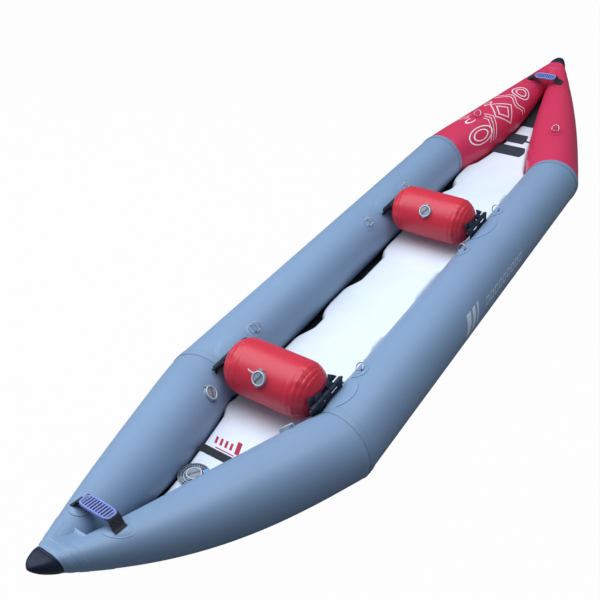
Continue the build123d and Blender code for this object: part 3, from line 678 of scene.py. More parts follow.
# %% Patches
def disc(s, t):
    """A square turned into a disc: squares round its middle become circles."""
    x, y = 2 * s - 1, 2 * t - 1
    span = math.hypot(x, y)
    if span == 0:
        return 0.0, 0.0, 0.0
    reach = max(abs(x), abs(y))
    return x * reach / span, y * reach / span, reach


def stepped(reach, edges, height=0.0008):
    """Lift of a stack of patches: each one ends at its own share of the full reach."""
    return sum(height * (1 - smooth(reach, edge - 0.022, edge + 0.022)) for edge in edges)


def tube_patch(side, y, angle, half_length, half_width, edges, rows=44):
    """Oval patch on a tube, half_length along it and half_width round it."""
    girth = section(bow if y > 0 else stern, max(0.0, (bow if y > 0 else stern).along(y)))[2]

    def place(s, t):
        along, around, reach = disc(s, t)
        turn = angle + around * half_width / girth
        return skin(side, y + along * half_length, turn, 0.0010 + stepped(reach, edges))

    return panel(rows, rows, place, thickness=0.0008)


thwart_sites = {"stern": -0.890, "bow": 0.295}
patch_spans = {"stern": (-0.918, -0.765), "bow": (0.208, 0.398)}
patches = []
for name, (aft, fore) in patch_spans.items():
    for side in SIDES.values():
        middle, half = (aft + fore) / 2, (fore - aft) / 2
        patches.append(tube_patch(side, middle, math.radians(30), half, 0.052, (0.88, 0.72)))
piece("thwart_landing_patches", gather(patches), patch_grey, "patch_grey", ["thwart_patches"])
print("seam bands and thwart patches made")


# %% Closing weld
def closing_weld():
    """Narrow doubled strip that closes the starboard stern tube, slanting over its inner side."""

    def place(s, t):
        y = -1.430 + 0.200 * s
        angle = math.radians(58 - 20 * s)
        across = 2 * t - 1
        groove = 0.0007 * math.exp(-((across / 0.25) ** 2))
        end_fade = smooth(s, 0.0, 0.02) * (1 - smooth(s, 0.98, 1.0))
        lift = 0.0006 + 0.0008 * end_fade * (1 - smooth(abs(across), 0.75, 1.0)) - groove
        return skin(1, y, angle + across * 0.0055 / TUBE_RADIUS, lift)

    return panel(80, 16, place, thickness=0.0004)


piece("starboard_stern_weld", closing_weld(), tape_grey, "tape_grey")
print("weld made")

# %% [markdown]
# ## The noses
#
# At each end the two tubes lie side by side inside a wrap, a sheet drawn round both. Its outline
# is two half ellipses joined by straight runs. Its inboard edge sags between the tubes, and two
# bands of tape are glued round it near the cone. The cone is a moulded rubber cap.


# %% Outline round both tubes
def round_both(t, half_spacing, half_width, half_height):
    """Point of the outline at t, its direction outwards, and how far it is along a straight run."""
    arc = 0.40
    t = (t + arc / 2) % 1
    if t < arc:
        turn = math.pi * (t / arc - 0.5)
        return half_spacing + half_width * math.cos(turn), half_height * math.sin(turn), 0.0
    if t < 0.5:
        run = (t - arc) / (0.5 - arc)
        return half_spacing * (1 - 2 * run), half_height, 1 - (2 * run - 1) ** 2
    if t < 0.5 + arc:
        turn = math.pi * ((t - 0.5) / arc + 0.5)
        return -half_spacing + half_width * math.cos(turn), half_height * math.sin(turn), 0.0
    run = (t - 0.5 - arc) / (0.5 - arc)
    return half_spacing * (2 * run - 1), -half_height, 1 - (2 * run - 1) ** 2


WRAP_LENGTH = 0.100
WRAP_LIFT = 0.0014
WRAP_SAG = 0.016
TAPE_BANDS = ((0.010, 0.022), (0.034, 0.050))
BAND_STEP = 0.0008


def band_lift(distance):
    """Lift of the tape bands at a distance from the cone."""
    return sum(
        BAND_STEP
        * smooth(distance, low - BAND_STEP, low + BAND_STEP)
        * (1 - smooth(distance, high - BAND_STEP, high + BAND_STEP))
        for low, high in TAPE_BANDS
    )


def nose_wrap(end):
    def place(s, t):
        distance = WRAP_LENGTH * (1 - s)
        x, z, half_width, half_height = section(end, end.along(end.sign * (NOSE - distance)))
        lift = WRAP_LIFT + band_lift(distance)
        px, pz, run = round_both(t, x, half_width + lift, half_height + lift)
        sag = WRAP_SAG * run * smooth(distance, 0.02, WRAP_LENGTH)
        lip = 0.0035 * math.exp(-(((WRAP_LENGTH - distance) / 0.006) ** 2)) * run
        pz -= (sag - lip) if pz > 0 else -0.3 * sag
        return Vector((px, end.sign * (NOSE - distance), z + pz))

    return panel(110, 150, place, closed=True, thickness=0.0012, fill=False)


CONE_LENGTH = 0.060
CONE_RISE = 0.034


def nose_cone(end):
    """Rounded cap; a groove marks where its skirt meets the wrap."""

    def place(s, t):
        along = math.sin(math.pi / 2 * s)
        x, z, half_width, half_height = section(end, 1.0)
        size = (1 - along**1.75) ** 0.66
        groove = 0.0012 * math.exp(-(((along - 0.10) / 0.018) ** 2))
        lift = 0.0026 * (1 - smooth(along, 0.0, 0.5)) - groove
        px, pz, _ = round_both(t, size * x, size * half_width + lift, size * half_height + lift)
        if along > 0.9999:
            px = pz = 0.0
        y = end.sign * (NOSE - 0.002 + along * CONE_LENGTH)
        return Vector((px, y, z + along * CONE_RISE + pz))

    return panel(60, 120, place, closed=True)


for end_name, end, wrap_finish, wrap_slot in (
    ("stern", stern, tube_grey, "tube_grey"),
    ("bow", bow, tube_red, "tube_red"),
):
    piece(f"{end_name}_wrap", nose_wrap(end), wrap_finish, wrap_slot, [f"{end_name}_nose_wrap"])
    piece(f"{end_name}_cap", nose_cone(end), nose_rubber, "nose_black", [f"{end_name}_cone"])
print("noses made")

# %% [markdown]
# ## The hull bottom
#
# A single sheet joins the tubes underneath. Water that comes aboard runs to the edges of the
# floor and out through slots in this sheet. The rows and columns of its grid are snapped to the
# slots' edges, so that deleting faces leaves clean openings.

# %% Hull bottom
DRAIN_BAYS = ((-0.560, -0.450, -0.385), (-0.200, -0.090, 0.105), (0.690, 0.790, 0.840))
SHEET_TIP = 1.740
SHEET_SPREAD = 0.270
SHEET_LIFT = 0.0014  # the floor rests on the sheet, 0.4 mm above this face
SLOT_NEAR, SLOT_FAR = 0.143, 0.163


def end_of(y):
    return stern if y < 0 else bow


def tube_bottom(y):
    u = end_of(y).along(y)
    if u <= 0:
        return 0.002
    _, z, _, half_height = section(end_of(y), u)
    return z - half_height


def sheet_half_width(y):
    u = max(0.0, end_of(y).along(y))
    if u == 0:
        return SHEET_SPREAD
    x, _, half_width, _ = section(end_of(y), u)
    return min(SHEET_SPREAD, x - 0.14 * half_width - 0.0015)


def snapped(value, targets, reach):
    """The nearest target, if it is within reach, or the value itself."""
    nearest = min(targets, key=lambda edge: abs(edge - value))
    return nearest if abs(nearest - value) < reach else value


slot_ends = [end for _, flat, step in DRAIN_BAYS for end in (flat + 0.005, step - 0.005)]
slot_sides = [sign * edge / SHEET_SPREAD for sign in (-1, 1) for edge in (SLOT_NEAR, SLOT_FAR)]


def sheet_place(s, t):
    y = snapped(SHEET_TIP * (2 * s - 1), slot_ends, 0.0034)
    share = snapped(2 * t - 1, slot_sides, 0.0185)
    sag = -0.0010 * (1 - share**2) * smooth(abs(y), 1.0, 1.2)
    return Vector((share * sheet_half_width(y), y, tube_bottom(y) + SHEET_LIFT + sag))


def in_a_slot(point):
    across = SLOT_NEAR < abs(point.x) < SLOT_FAR
    return across and any(flat + 0.005 < point.y < step - 0.005 for _, flat, step in DRAIN_BAYS)


sheet = panel(480, 54, sheet_place)
slot_faces = [face for face in sheet.faces if in_a_slot(face.calc_center_median())]
bmesh.ops.delete(sheet, geom=slot_faces, context="FACES")
bmesh.ops.solidify(sheet, geom=sheet.faces, thickness=0.0012)
bmesh.ops.recalc_face_normals(sheet, faces=sheet.faces)
# the sheet's near-black colour paints the shade seen through the drain bays and between the tubes
piece("hull_sheet", sheet, hull_dark, "hull_dark", ["hull_bottom"])
print(len(slot_faces), "faces removed for the drain slots")

# %% [markdown]
# ## The air floor
#
# The floor is one flat mattress with a rounded edge. Its outline leaves the tubes in three bays on
# each side, easing inwards from the stern and stepping sharply back, so the water can reach the
# slots. Each station of the grid is a flat top, a half ellipse at each side, and a flat bottom.

# %% Floor outline
FLOOR_TOP = 0.096
STERN_TIP, BOW_TIP = 1.445, 1.490
FLOOR_HALF_WIDTH = 0.1693
BAY_HALF_WIDTH = 0.139
EDGE_RADIUS = 0.021


def floor_top(y):
    if y < -0.930:
        v = (-y - 0.930) / (STERN_TIP - 0.930)
        return FLOOR_TOP + 0.080 * (1 - (1 - min(v, 1.0)) ** 1.8)
    if y > 1.005:
        v = (y - 1.005) / (BOW_TIP - 1.005)
        return FLOOR_TOP + 0.064 * v**1.2
    return FLOOR_TOP


def floor_bottom(y):
    on_hull = tube_bottom(y) + 0.0018
    return max(on_hull, floor_top(y) - 0.0928) if y < -stern.kink else on_hull


def bay_depth(y):
    """How far a bay takes the floor's edge in, at y."""
    depth = FLOOR_HALF_WIDTH - BAY_HALF_WIDTH
    for leave, flat, step in DRAIN_BAYS:
        corner = step - 0.009
        if leave < y < corner:
            return depth * smooth(y, leave, flat)
        if corner <= y < step + 0.085:
            return depth * math.exp(-(((y - corner) / 0.030) ** 1.15))
    return 0.0


def floor_half_width(y):
    u = max(0.0, end_of(y).along(y))
    x, z, half_width, half_height = section(end_of(y), u)
    if u == 0:
        return FLOOR_HALF_WIDTH - bay_depth(y)
    drop = (z - floor_top(y)) / half_height
    against_tube = x - half_width * math.sqrt(max(0.0, 1 - drop * drop)) - 0.001
    return max(0.004, FLOOR_HALF_WIDTH + (against_tube - FLOOR_HALF_WIDTH) * smooth(u, -0.001, 0.10))


def around_floor(t):
    """Share of the flat from side to side, and the turn round the edge, for t round the section."""
    flat = 0.30
    side_run = 0.5 - flat
    if t < flat:
        return 1 - 2 * t / flat, math.pi / 2
    if t < 0.5:
        return -1.0, math.pi / 2 + math.pi * (t - flat) / side_run
    if t < 0.5 + flat:
        return -1 + 2 * (t - 0.5) / flat, 3 * math.pi / 2
    return 1.0, 3 * math.pi / 2 + math.pi * (t - 0.5 - flat) / side_run


def floor_place(s, t):
    y = -STERN_TIP + s * (STERN_TIP + BOW_TIP)
    to_tip = min(y + STERN_TIP, BOW_TIP - y)
    closing = math.sqrt(1 - (1 - min(1.0, to_tip / 0.020)) ** 2)
    top, bottom = floor_top(y), floor_bottom(y)
    middle, half = (top + bottom) / 2, (top - bottom) / 2
    width = floor_half_width(y)
    radius = min(EDGE_RADIUS, width * 0.6)
    share, turn = around_floor(t)
    x = share * (width - radius) + radius * math.cos(turn) * closing
    return Vector((x, y, middle + half * math.sin(turn) * closing))


floor = piece("air_floor", panel(620, 80, floor_place, closed=True), floor_pale, "floor_pale", ["floor_mat"])
print("floor half width", round(floor_half_width(0.5), 4), "in a bay", round(floor_half_width(0.0), 4))

# %% [markdown]
# Straps and anti-chafe strips lie on the floor. They follow its top, and stop just short of the
# rounded edge.


# %% Straps on the floor
def floor_strip(x_low, x_high, y_low, y_high, thickness, point=0.0, skew=0.0):
    """Strip on the floor; its starboard end may come to a blunt point."""

    def place(s, t):
        y = y_low + t * (y_high - y_low)
        tip = x_high - point * abs(2 * t - 1) ** 1.5
        x = x_low + s * (tip - x_low)
        y += skew * (x - x_low)
        edge = min(s, 1 - s) * (x_high - x_low)
        height = 0.0004 + thickness * smooth(edge, -0.001, 0.002)
        return Vector((x, y, floor_top(y) + height + 0.0002))

    return panel(60, 20, place, thickness=thickness)


strap_half = floor_half_width(-1.206) - 0.006
strap = floor_strip(-strap_half, strap_half, -1.221, -1.191, 0.0016)
piece("stern_strap", strap, webbing_black, "webbing_black", ["stern_floor_strap"])
strips = gather(
    [
        floor_strip(-0.100, 0.066, 1.196, 1.280, 0.0014, point=0.012),
        floor_strip(-0.070, 0.033, 1.312, 1.392, 0.0014, point=0.006),
        floor_strip(0.030, 0.058, 1.335, 1.347, 0.0014),
    ]
)
piece("bow_strips", strips, band_slate, "webbing_black", ["bow_floor_bands"])
print("strap and strips made")

# %% [markdown]
# ## Thwarts
#
# A thwart is a fat air cushion with domed ends. Its profile is a half circle made a little fuller,
# carried round the X axis. The domes are separate panels, so a band of tape runs round each end,
# the cloth is pinched there, and small puckers run from the band over the dome.

# %% Thwart
THWART_HEIGHT = 0.234
THWART_RADIUS = 0.100
THWART_STRAIGHT = 0.099
THWART_DOME = 0.086
FULLNESS = 0.908
END_BANDS = ((0.098, 0.112), (0.124, 0.131))


def thwart_radius(x):
    """Radius of a thwart at a distance from its middle, with its bands and pinched seam."""
    distance = abs(x)
    if distance <= THWART_STRAIGHT:
        bare = THWART_RADIUS
    else:
        share = min(1.0, (distance - THWART_STRAIGHT) / THWART_DOME)
        turn = math.asin(share ** (1 / FULLNESS))
        bare = THWART_RADIUS * max(0.0, math.cos(turn)) ** FULLNESS
    seam = math.exp(-(((distance - 0.105) / 0.010) ** 2))
    bands = sum(
        smooth(distance, low - 0.0007, low + 0.0007) * (1 - smooth(distance, high - 0.0007, high + 0.0007))
        for low, high in END_BANDS
    )
    return bare * (1 - 0.014 * seam) + 0.0013 * bands


def end_folds(x, angle):
    """Depth of the slack folds that run round the domes, deeper on some sides than on others."""
    depth = 0.0
    for distance, reach, phase in ((0.140, 0.0026, 0.6), (0.153, 0.0030, 1.5), (0.166, 0.0026, 2.6)):
        wander = 0.0022 * math.sin(2 * angle + phase)
        share = 0.35 + 0.65 * (0.5 + 0.5 * math.sin(angle + phase + (0 if x > 0 else 2.0)))
        depth += 0.0019 * share * math.exp(-(((abs(x) - distance - wander) / reach) ** 2))
    return depth


def thwart_point(centre_y, x, angle, lift=0.0):
    radius = thwart_radius(x) + lift
    window = smooth(abs(x), 0.110, 0.128) * (1 - smooth(abs(x), 0.140, 0.172))
    pucker = 0.0011 * window * math.sin(17 * angle + 2.1 * math.sin(3 * angle))
    radius += pucker - end_folds(x, angle)
    return Vector((x, centre_y + radius * math.sin(angle), THWART_HEIGHT + radius * math.cos(angle)))


def thwart_shape(centre_y):
    reach = THWART_STRAIGHT + THWART_DOME

    def place(s, t):
        x = reach * math.sin(math.pi / 2 * (2 * s - 1))
        return thwart_point(centre_y, x, 2 * math.pi * t)

    return panel(220, 128, place, closed=True)


thwart_red = coated_fabric("thwart red", (0.600, 0.026, 0.048), roughness=0.36, clouds=0.08)
for name, centre_y in thwart_sites.items():
    cushion = piece(f"{name}_cushion", thwart_shape(centre_y), thwart_red, "tube_red", [f"{name}_thwart"])
print("thwarts made")

# %% [markdown]
# ## Lacing
#
# The thwart hangs from a plastic rod at each end. Loops of a flap from the thwart and loops of a
# sleeve from the tube take turns along the rod, like the knuckles of a hinge. Each loop is a short
# band round the rod, and each leaf is a sheet that starts at its loops.

# %% Leaves and loops
ROD_X, ROD_Z = 0.196, 0.246
LOOP_RADIUS = 0.0069
LOOP_WALL = 0.0016
LOOP_PITCH = 0.0346
LOOP_LENGTH = 0.0326
LEAF_SHIFT = 0.008


def loop(side, y, swell=0.0008):
    def place(s, t):
        angle = 2 * math.pi * t
        radius = LOOP_RADIUS + swell * math.sin(math.pi * s)
        x = side * ROD_X + radius * math.cos(angle)
        return Vector((x, y + LOOP_LENGTH * (s - 0.5), ROD_Z + radius * math.sin(angle)))

    return panel(12, 28, place, closed=True, thickness=LOOP_WALL, fill=False)


HALF_LEAF = 0.0845
INNER_SHARE = 0.74  # the leaf's width at the thwart, as a share of its width at the rod
WELD_RISE = 0.034  # height of the leaf's inner edge above the thwart's axis
WIDEST_WELD = 0.0985
LEAF_STANDOFF = 0.0034
LEAF_EASE = 0.0008
FOOT_ANGLE, FOOT_WIDTH = math.radians(43), math.radians(4)
FOOT_LIFT = 0.0022
FOOT_START = 0.8  # share of the sleeve's length at which it meets the tube
FLAP_LOOPS, SLEEVE_LOOPS = (-1, 1), (-2, 0, 2)


def dome_reach(radius):
    """Distance from a thwart's middle at which its dome has this radius."""
    turn = math.acos(min(1.0, radius / THWART_RADIUS) ** (1 / FULLNESS))
    return THWART_STRAIGHT + THWART_DOME * math.sin(turn) ** FULLNESS


def tongue(off, own_loops):
    """1 where a leaf runs on into one of its own loops, 0 between them."""
    nearest = min(abs(off - step * LOOP_PITCH) for step in own_loops)
    return 1 - smooth(nearest, LOOP_LENGTH / 2 - LEAF_EASE, LOOP_LENGTH / 2 + LEAF_EASE)


def flap_leaf(side, centre_y, middle_y):
    """Sheet from a line across the thwart's dome to the rod, cut into tongues at its loops."""
    def place(s, t):
        off = (2 * t - 1) * HALF_LEAF
        from_centre = (middle_y - centre_y) * 0.5 + off * INNER_SHARE
        radius = min(WIDEST_WELD, math.hypot(from_centre, WELD_RISE))
        start = Vector((dome_reach(radius), from_centre, WELD_RISE))
        outwards = Vector((start.x - THWART_STRAIGHT * 0.8, start.y, start.z)).normalized()
        start += outwards * LEAF_STANDOFF
        over = tongue(off, FLAP_LOOPS)
        end_x = ROD_X - 0.0125 + 0.0115 * over
        end_z = ROD_Z + 0.0060 + 0.0014 * over
        x = start.x + s * (end_x - start.x)
        z = THWART_HEIGHT + start.z + s * (end_z - THWART_HEIGHT - start.z)
        y = centre_y + start.y + s * (middle_y + off - centre_y - start.y)
        return Vector((side * x, y, z + 0.0020 * math.sin(math.pi * s)))

    return panel(22, 96, place, thickness=LOOP_WALL)


def sleeve_leaf(side, middle_y):
    """Sheet from the rod down to the tube, with its lower edge glued down."""

    def place(s, t):
        off = (2 * t - 1) * HALF_LEAF
        y = middle_y + off
        foot = skin(side, y, FOOT_ANGLE, FOOT_LIFT)
        over = tongue(off, SLEEVE_LOOPS)
        top = Vector((side * (ROD_X + 0.0105 - 0.0033 * over), y, ROD_Z - 0.0050 + 0.0065 * over))
        if s < FOOT_START:
            return top.lerp(foot, s / FOOT_START)
        past = (s - FOOT_START) / (1 - FOOT_START)
        return skin(side, y, FOOT_ANGLE - past * FOOT_WIDTH, FOOT_LIFT)

    return panel(22, 96, place, thickness=LOOP_WALL)


for name, centre_y in thwart_sites.items():
    middle_y = centre_y + LEAF_SHIFT
    flaps, sleeves = [], []
    for side in SIDES.values():
        flaps.append(flap_leaf(side, centre_y, middle_y))
        flaps += [loop(side, middle_y + step * LOOP_PITCH) for step in FLAP_LOOPS]
        sleeves.append(sleeve_leaf(side, middle_y))
        sleeves += [loop(side, middle_y + step * LOOP_PITCH) for step in SLEEVE_LOOPS]
    piece(f"{name}_flaps", gather(flaps), flap_navy, "flap_navy", [f"{name}_thwart_flaps"])
    piece(f"{name}_sleeves", gather(sleeves), flap_navy, "flap_navy", [f"{name}_thwart_sleeves"])
print("lacing made")

# %% [markdown]
# ## D-ring mounts
#
# A round patch, itself doubled, is glued to the tube, and a short loop of cloth over it holds the
# ring's bar. The hinge of each ring in the frame says where the bar is and which way it points, so
# the keeper is built round that line. The rings themselves are steel wire and stay as they are.

# %% Ring mounts
RING_HEIGHT = 0.0043
KEEPER_HALF = 0.012
WIRE = 0.0020


class RingSite:
    """Where a ring's mount sits on its tube, from the ring's hinge."""

    def __init__(self, name):
        joint = next(j for j in frame["joints"] if j["name"] == f"{name}_swing")
        self.bar = Vector(joint["pos_m"])
        self.along_bar = Vector(joint["axis"]).normalized()
        self.side = -1 if self.bar.x < 0 else 1
        end = end_of(self.bar.y)
        x, z = section(end, max(0.0, end.along(self.bar.y)))[:2]
        self.angle = math.atan2(x - abs(self.bar.x), self.bar.z - z)
        self.up = (self.bar - Vector((self.side * x, self.bar.y, z))).normalized()
        self.up = (self.up - self.along_bar * self.up.dot(self.along_bar)).normalized()
        self.forward = self.up.cross(self.along_bar)


def keeper(site):
    """Band over the bar with a foot on each side."""
    hump = WIRE + 0.0016
    foot = 0.014

    def place(s, t):
        run = (2 * t - 1) * (foot + 0.5 * math.pi * hump)
        arc = max(-math.pi / 2, min(math.pi / 2, run / hump))
        sideways = hump * math.sin(arc)
        beyond = abs(run) - math.pi / 2 * hump
        height = hump * math.cos(arc)
        if beyond > 0:
            sideways += math.copysign(beyond, run)
            height = -(RING_HEIGHT - 0.0022) * smooth(beyond, 0.0, 0.005)
        point = site.bar + site.along_bar * (2 * s - 1) * KEEPER_HALF
        return point + site.forward * sideways + site.up * (height + 0.0002)

    return panel(20, 44, place, thickness=0.0012)


ring_names = sorted(j["name"][: -len("_swing")] for j in frame["joints"] if j["name"].endswith("_ring_swing"))
mounts = {"grey": [], "red": []}
for ring_name in ring_names:
    site = RingSite(ring_name)
    colour = "red" if site.bar.y > 1.0 else "grey"
    disc_patch = tube_patch(site.side, site.bar.y, site.angle, 0.035, 0.035, (0.70,), rows=40)
    mounts[colour] += [disc_patch, keeper(site)]
for colour, finish in (("grey", patch_grey), ("red", patch_red)):
    piece(f"{colour}_ring_patches", gather(mounts[colour]), finish, "patch_grey", [f"{colour}_ring_mounts"])
print(len(ring_names), "ring mounts made")

# %% [markdown]
# ## Carry handles
#
# Black webbing is sewn to a patch on each tube and passes through a moulded grip, a ladder of two
# rails and ten rungs. The grip rides on its own body; the webbing is left where it lies, on no body.

# %% Handle sizes
HANDLE_HEIGHT = 0.028
GRIP_HALF_LENGTH, GRIP_HALF_WIDTH = 0.056, 0.023
GRIP_FLAT = 0.046
HANDLE_HALF_WIDTH = 0.066
handle_sites = {"stern": (stern, 1.657), "bow": (bow, 1.640)}


class HandlePlace:
    """Frame of a handle: x across, y along the deck, and up out of it."""

    def __init__(self, end, distance):
        self.end = end
        self.y = end.sign * distance
        self.x, z, self.half_width, self.half_height = section(end, end.along(self.y))
        inboard = section(end, end.along(self.y - end.sign * 0.001))
        climb = (z + self.half_height) - (inboard[1] + inboard[3])
        self.deck = Vector((0, self.y, z + self.half_height))
        self.along = Vector((0, 1, end.sign * climb / 0.001)).normalized()
        self.up = Vector((1, 0, 0)).cross(self.along)

    def point(self, across, along, height):
        return self.deck + Vector((across, 0, 0)) + self.along * along + self.up * height


def curve_through(points, samples=12):
    """Smooth run of points through the given ones, by Catmull and Rom's rule."""
    padded = [2 * points[0] - points[1], *points, 2 * points[-1] - points[-2]]
    run = []
    for i in range(1, len(padded) - 2):
        a, b, c, d = padded[i - 1 : i + 3]
        for k in range(samples):
            t = k / samples
            bend = (2 * a - 5 * b + 4 * c - d) * t**2 + (3 * b - a - 3 * c + d) * t**3
            run.append(0.5 * (2 * b + (c - a) * t + bend))
    return [*run, points[-1]]


def along_run(run, share):
    """Point at a share of a run of points, with straight steps between them."""
    place = share * (len(run) - 1)
    index = min(int(place), len(run) - 2)
    return run[index].lerp(run[index + 1], place - index)


def strap_shape(at):
    """Webbing from one sewn foot over the grip to the other."""
    foot = 0.0025
    half = [
        Vector((at.x + 0.013, foot - at.half_height * 0.010)),
        Vector((at.x + 0.008, foot - 0.0002)),
        Vector((at.x + 0.003, foot + 0.0012)),
        Vector((HANDLE_HALF_WIDTH - 0.001, HANDLE_HEIGHT * 0.52)),
        Vector((GRIP_FLAT + 0.010, HANDLE_HEIGHT * 0.93)),
        Vector((GRIP_FLAT, HANDLE_HEIGHT)),
    ]
    run = curve_through(half)
    run += [Vector((-p.x, p.y)) for p in reversed(run)]

    def place(s, t):
        centre = along_run(run, s)
        return at.point(centre.x, (2 * t - 1) * 0.020, centre.y + 0.001)

    return panel(150, 16, place, thickness=0.0020)


def ladder_outline(turn):
    """Rounded rectangle, as a superellipse, through the middle of the grip's rim."""
    power = 0.42
    c, s = math.cos(turn), math.sin(turn)
    x = math.copysign(abs(c) ** power, c) * (GRIP_HALF_LENGTH - 0.0045)
    y = math.copysign(abs(s) ** power, s) * (GRIP_HALF_WIDTH - 0.0035)
    return x, y


def crown(x):
    """The grip bows upwards a little in its middle."""
    return 0.0022 * (1 - (x / GRIP_HALF_LENGTH) ** 2) - 0.0012


def grip_shape(at):
    """Rim and rungs of the ladder, above and below the webbing."""

    def rim(s, t):
        x, y = ladder_outline(2 * math.pi * s)
        roll = 2 * math.pi * t
        swell_x = 0.0045 * math.cos(roll) * x / math.hypot(x, y * 2.4)
        swell_y = 0.0035 * math.cos(roll) * y / math.hypot(x * 0.4, y)
        return at.point(x + swell_x, y + swell_y, HANDLE_HEIGHT + crown(x) + 0.0050 * math.sin(roll))

    def rung(x, height):
        def place(s, t):
            roll = 2 * math.pi * t
            thin = math.sqrt(max(0.0, 1 - (2 * s - 1) ** 8))
            across = x + 0.0026 * math.cos(roll) * thin
            along = (2 * s - 1) * (GRIP_HALF_WIDTH - 0.002)
            return at.point(across, along, HANDLE_HEIGHT + crown(x) + height + 0.0014 * math.sin(roll) * thin)

        return panel(16, 14, place, closed=True)

    parts = [panel(160, 18, rim, closed=True, fill=False)]
    for i in range(10):
        x = -0.0430 + 0.0860 * i / 9
        parts += [rung(x, 0.0030), rung(x, -0.0028)]
    return gather(parts)


for name, (end, distance) in handle_sites.items():
    at = HandlePlace(end, distance)
    grip_body = f"{name}_handle_grip_body"
    grip = grip_shape(at)
    piece(f"{name}_grip", grip, grip_lilac, "grip_grey", [f"{name}_handle_grip"], body=grip_body)
    bend = (grip_body, at.point(0, 0, 0.004), at.point(0, 0, HANDLE_HEIGHT - 0.003))
    webbing_node = [f"{name}_handle_webbing"]
    piece(f"{name}_handle_strap", strap_shape(at), webbing_black, "webbing_black", webbing_node, bend=bend)
    anchors = [tube_patch(side, at.y, 0.0, 0.037, 0.037, (0.80, 0.64)) for side in SIDES.values()]
    finish = patch_red if name == "bow" else patch_grey
    piece(f"{name}_anchor_patches", gather(anchors), finish, "patch_grey", [f"{name}_handle_patches"])
print("handles made")

# %% [markdown]
# ## Valve caps
#
# The working parts of each valve, its body, sprung plunger and hinge pin, are machined shapes and
# stay as they are. The cap is given a moulded top: a raised rim, a dished face and a curved finger
# bar. One polar grid does it, and the same numbers paint a dark ring of shade into the recess.

# %% Cap tops
CAP_RADIUS = 0.025
CAP_TOP = 0.0083


class ValvePlace:
    """Frame of a valve, from its hinge and the direction in which its plunger slides."""

    def __init__(self, name):
        joints = {j["name"]: j for j in frame["joints"]}
        hinge = joints[f"{name}_valve_cap_hinge"]
        slide = joints[f"{name}_valve_plunger_slide"]
        self.out = -Vector(slide["axis"]).normalized()
        self.pin = -Vector(hinge["axis"]).normalized()
        self.away = self.out.cross(self.pin)
        towards = Vector(hinge["pos_m"])
        self.base = towards - self.away * 0.029 - self.out * 0.0063

    def point(self, x, y, height):
        return self.base + self.pin * x + self.away * y + self.out * height


def bar_share(x, y):
    """How much of the curved finger bar is at x, y, both as shares of the cap's radius."""
    centre = 0.30 * math.sin(2.6 * y)
    return 1 - smooth(abs(x - centre), 0.10, 0.22)


def cap_height(reach, x, y):
    rim = smooth(reach, 0.80, 0.86) * (1 - smooth(reach, 0.94, 1.0))
    inside = 1 - smooth(reach, 0.70, 0.80)
    return 0.0018 * rim + 0.0016 * inside * bar_share(x, y) - 0.0001 * inside


def cap_top(at):
    def place(s, t):
        x, y, reach = disc(s, t)
        size = CAP_RADIUS * (1 - 0.02 * smooth(reach, 0.97, 1.0))
        return at.point(size * x, size * y, CAP_TOP + 0.0009 + cap_height(reach, x, y))

    return panel(56, 56, place, thickness=0.0008)


def cap_finish(name, bar_colour, face_colour, rim_colour):
    """Moulded plastic whose rim, bar and recess differ, with painted shade in the recess; the UV map is the
    cap's own square.
    """
    finish = moulded(name, face_colour, 0.36)
    u, v = (finish.axis(i, finish.surface_place) * 2 - 1 for i in range(2))
    reach = abs(u).most(abs(v))
    span = (u * u + v * v).root()
    scale = reach / span.most(0.001)
    x, y = u * scale, v * scale
    centre = (y * 2.6).sine() * 0.30
    bar = abs(x - centre).under(0.16, 0.03) * reach.under(0.78, 0.01)
    rim = 1 - reach.under(0.80, 0.01)
    # painted shade: a dark ring where the face dips into the recess inside the rim
    groove = reach.between(0.72, 0.80, 0.01)
    dirt = finish.noise(90.0, detail=3.0)
    face = finish.mix(dirt * 0.5, face_colour, tuple(c * 0.75 for c in face_colour))
    colour = finish.mix(bar, face, bar_colour)
    # the recess ring is coloured near black as painted shade
    colour = finish.mix(groove, colour, (0.05, 0.055, 0.065))
    return finish.set(Base_Color=finish.mix(rim, colour, rim_colour))


cap_grey = cap_finish("cap grey", (0.12, 0.13, 0.15), (0.27, 0.30, 0.34), (0.50, 0.54, 0.60))
valve_names = ["port_tube", "starboard_tube", "stern_thwart", "bow_thwart", "floor"]
for name in valve_names:
    at = ValvePlace(name)
    piece(f"{name}_cap_top", cap_top(at), cap_grey, "valve_grey", body=f"{name}_valve_cap_body")
print("cap tops made")


# %% Floor valve collar
def collar_shape(at):
    """Flat ring round the floor valve, stepped where its two layers end."""
    inner, outer = 0.0263, 0.0500

    def place(s, t):
        angle = 2 * math.pi * t
        radius = inner + s * (outer - inner)
        height = 0.0006 + 0.0007 * (1 - smooth(s, 0.86, 0.90)) + 0.0005 * (1 - smooth(s, 0.22, 0.26))
        x, y = radius * math.cos(angle), radius * math.sin(angle)
        lean = at.base + at.pin * x + at.away * y
        return Vector((lean.x, lean.y, floor_top(lean.y) + height + 0.0008))

    return panel(40, 120, place, closed=True, thickness=0.0008, fill=False)


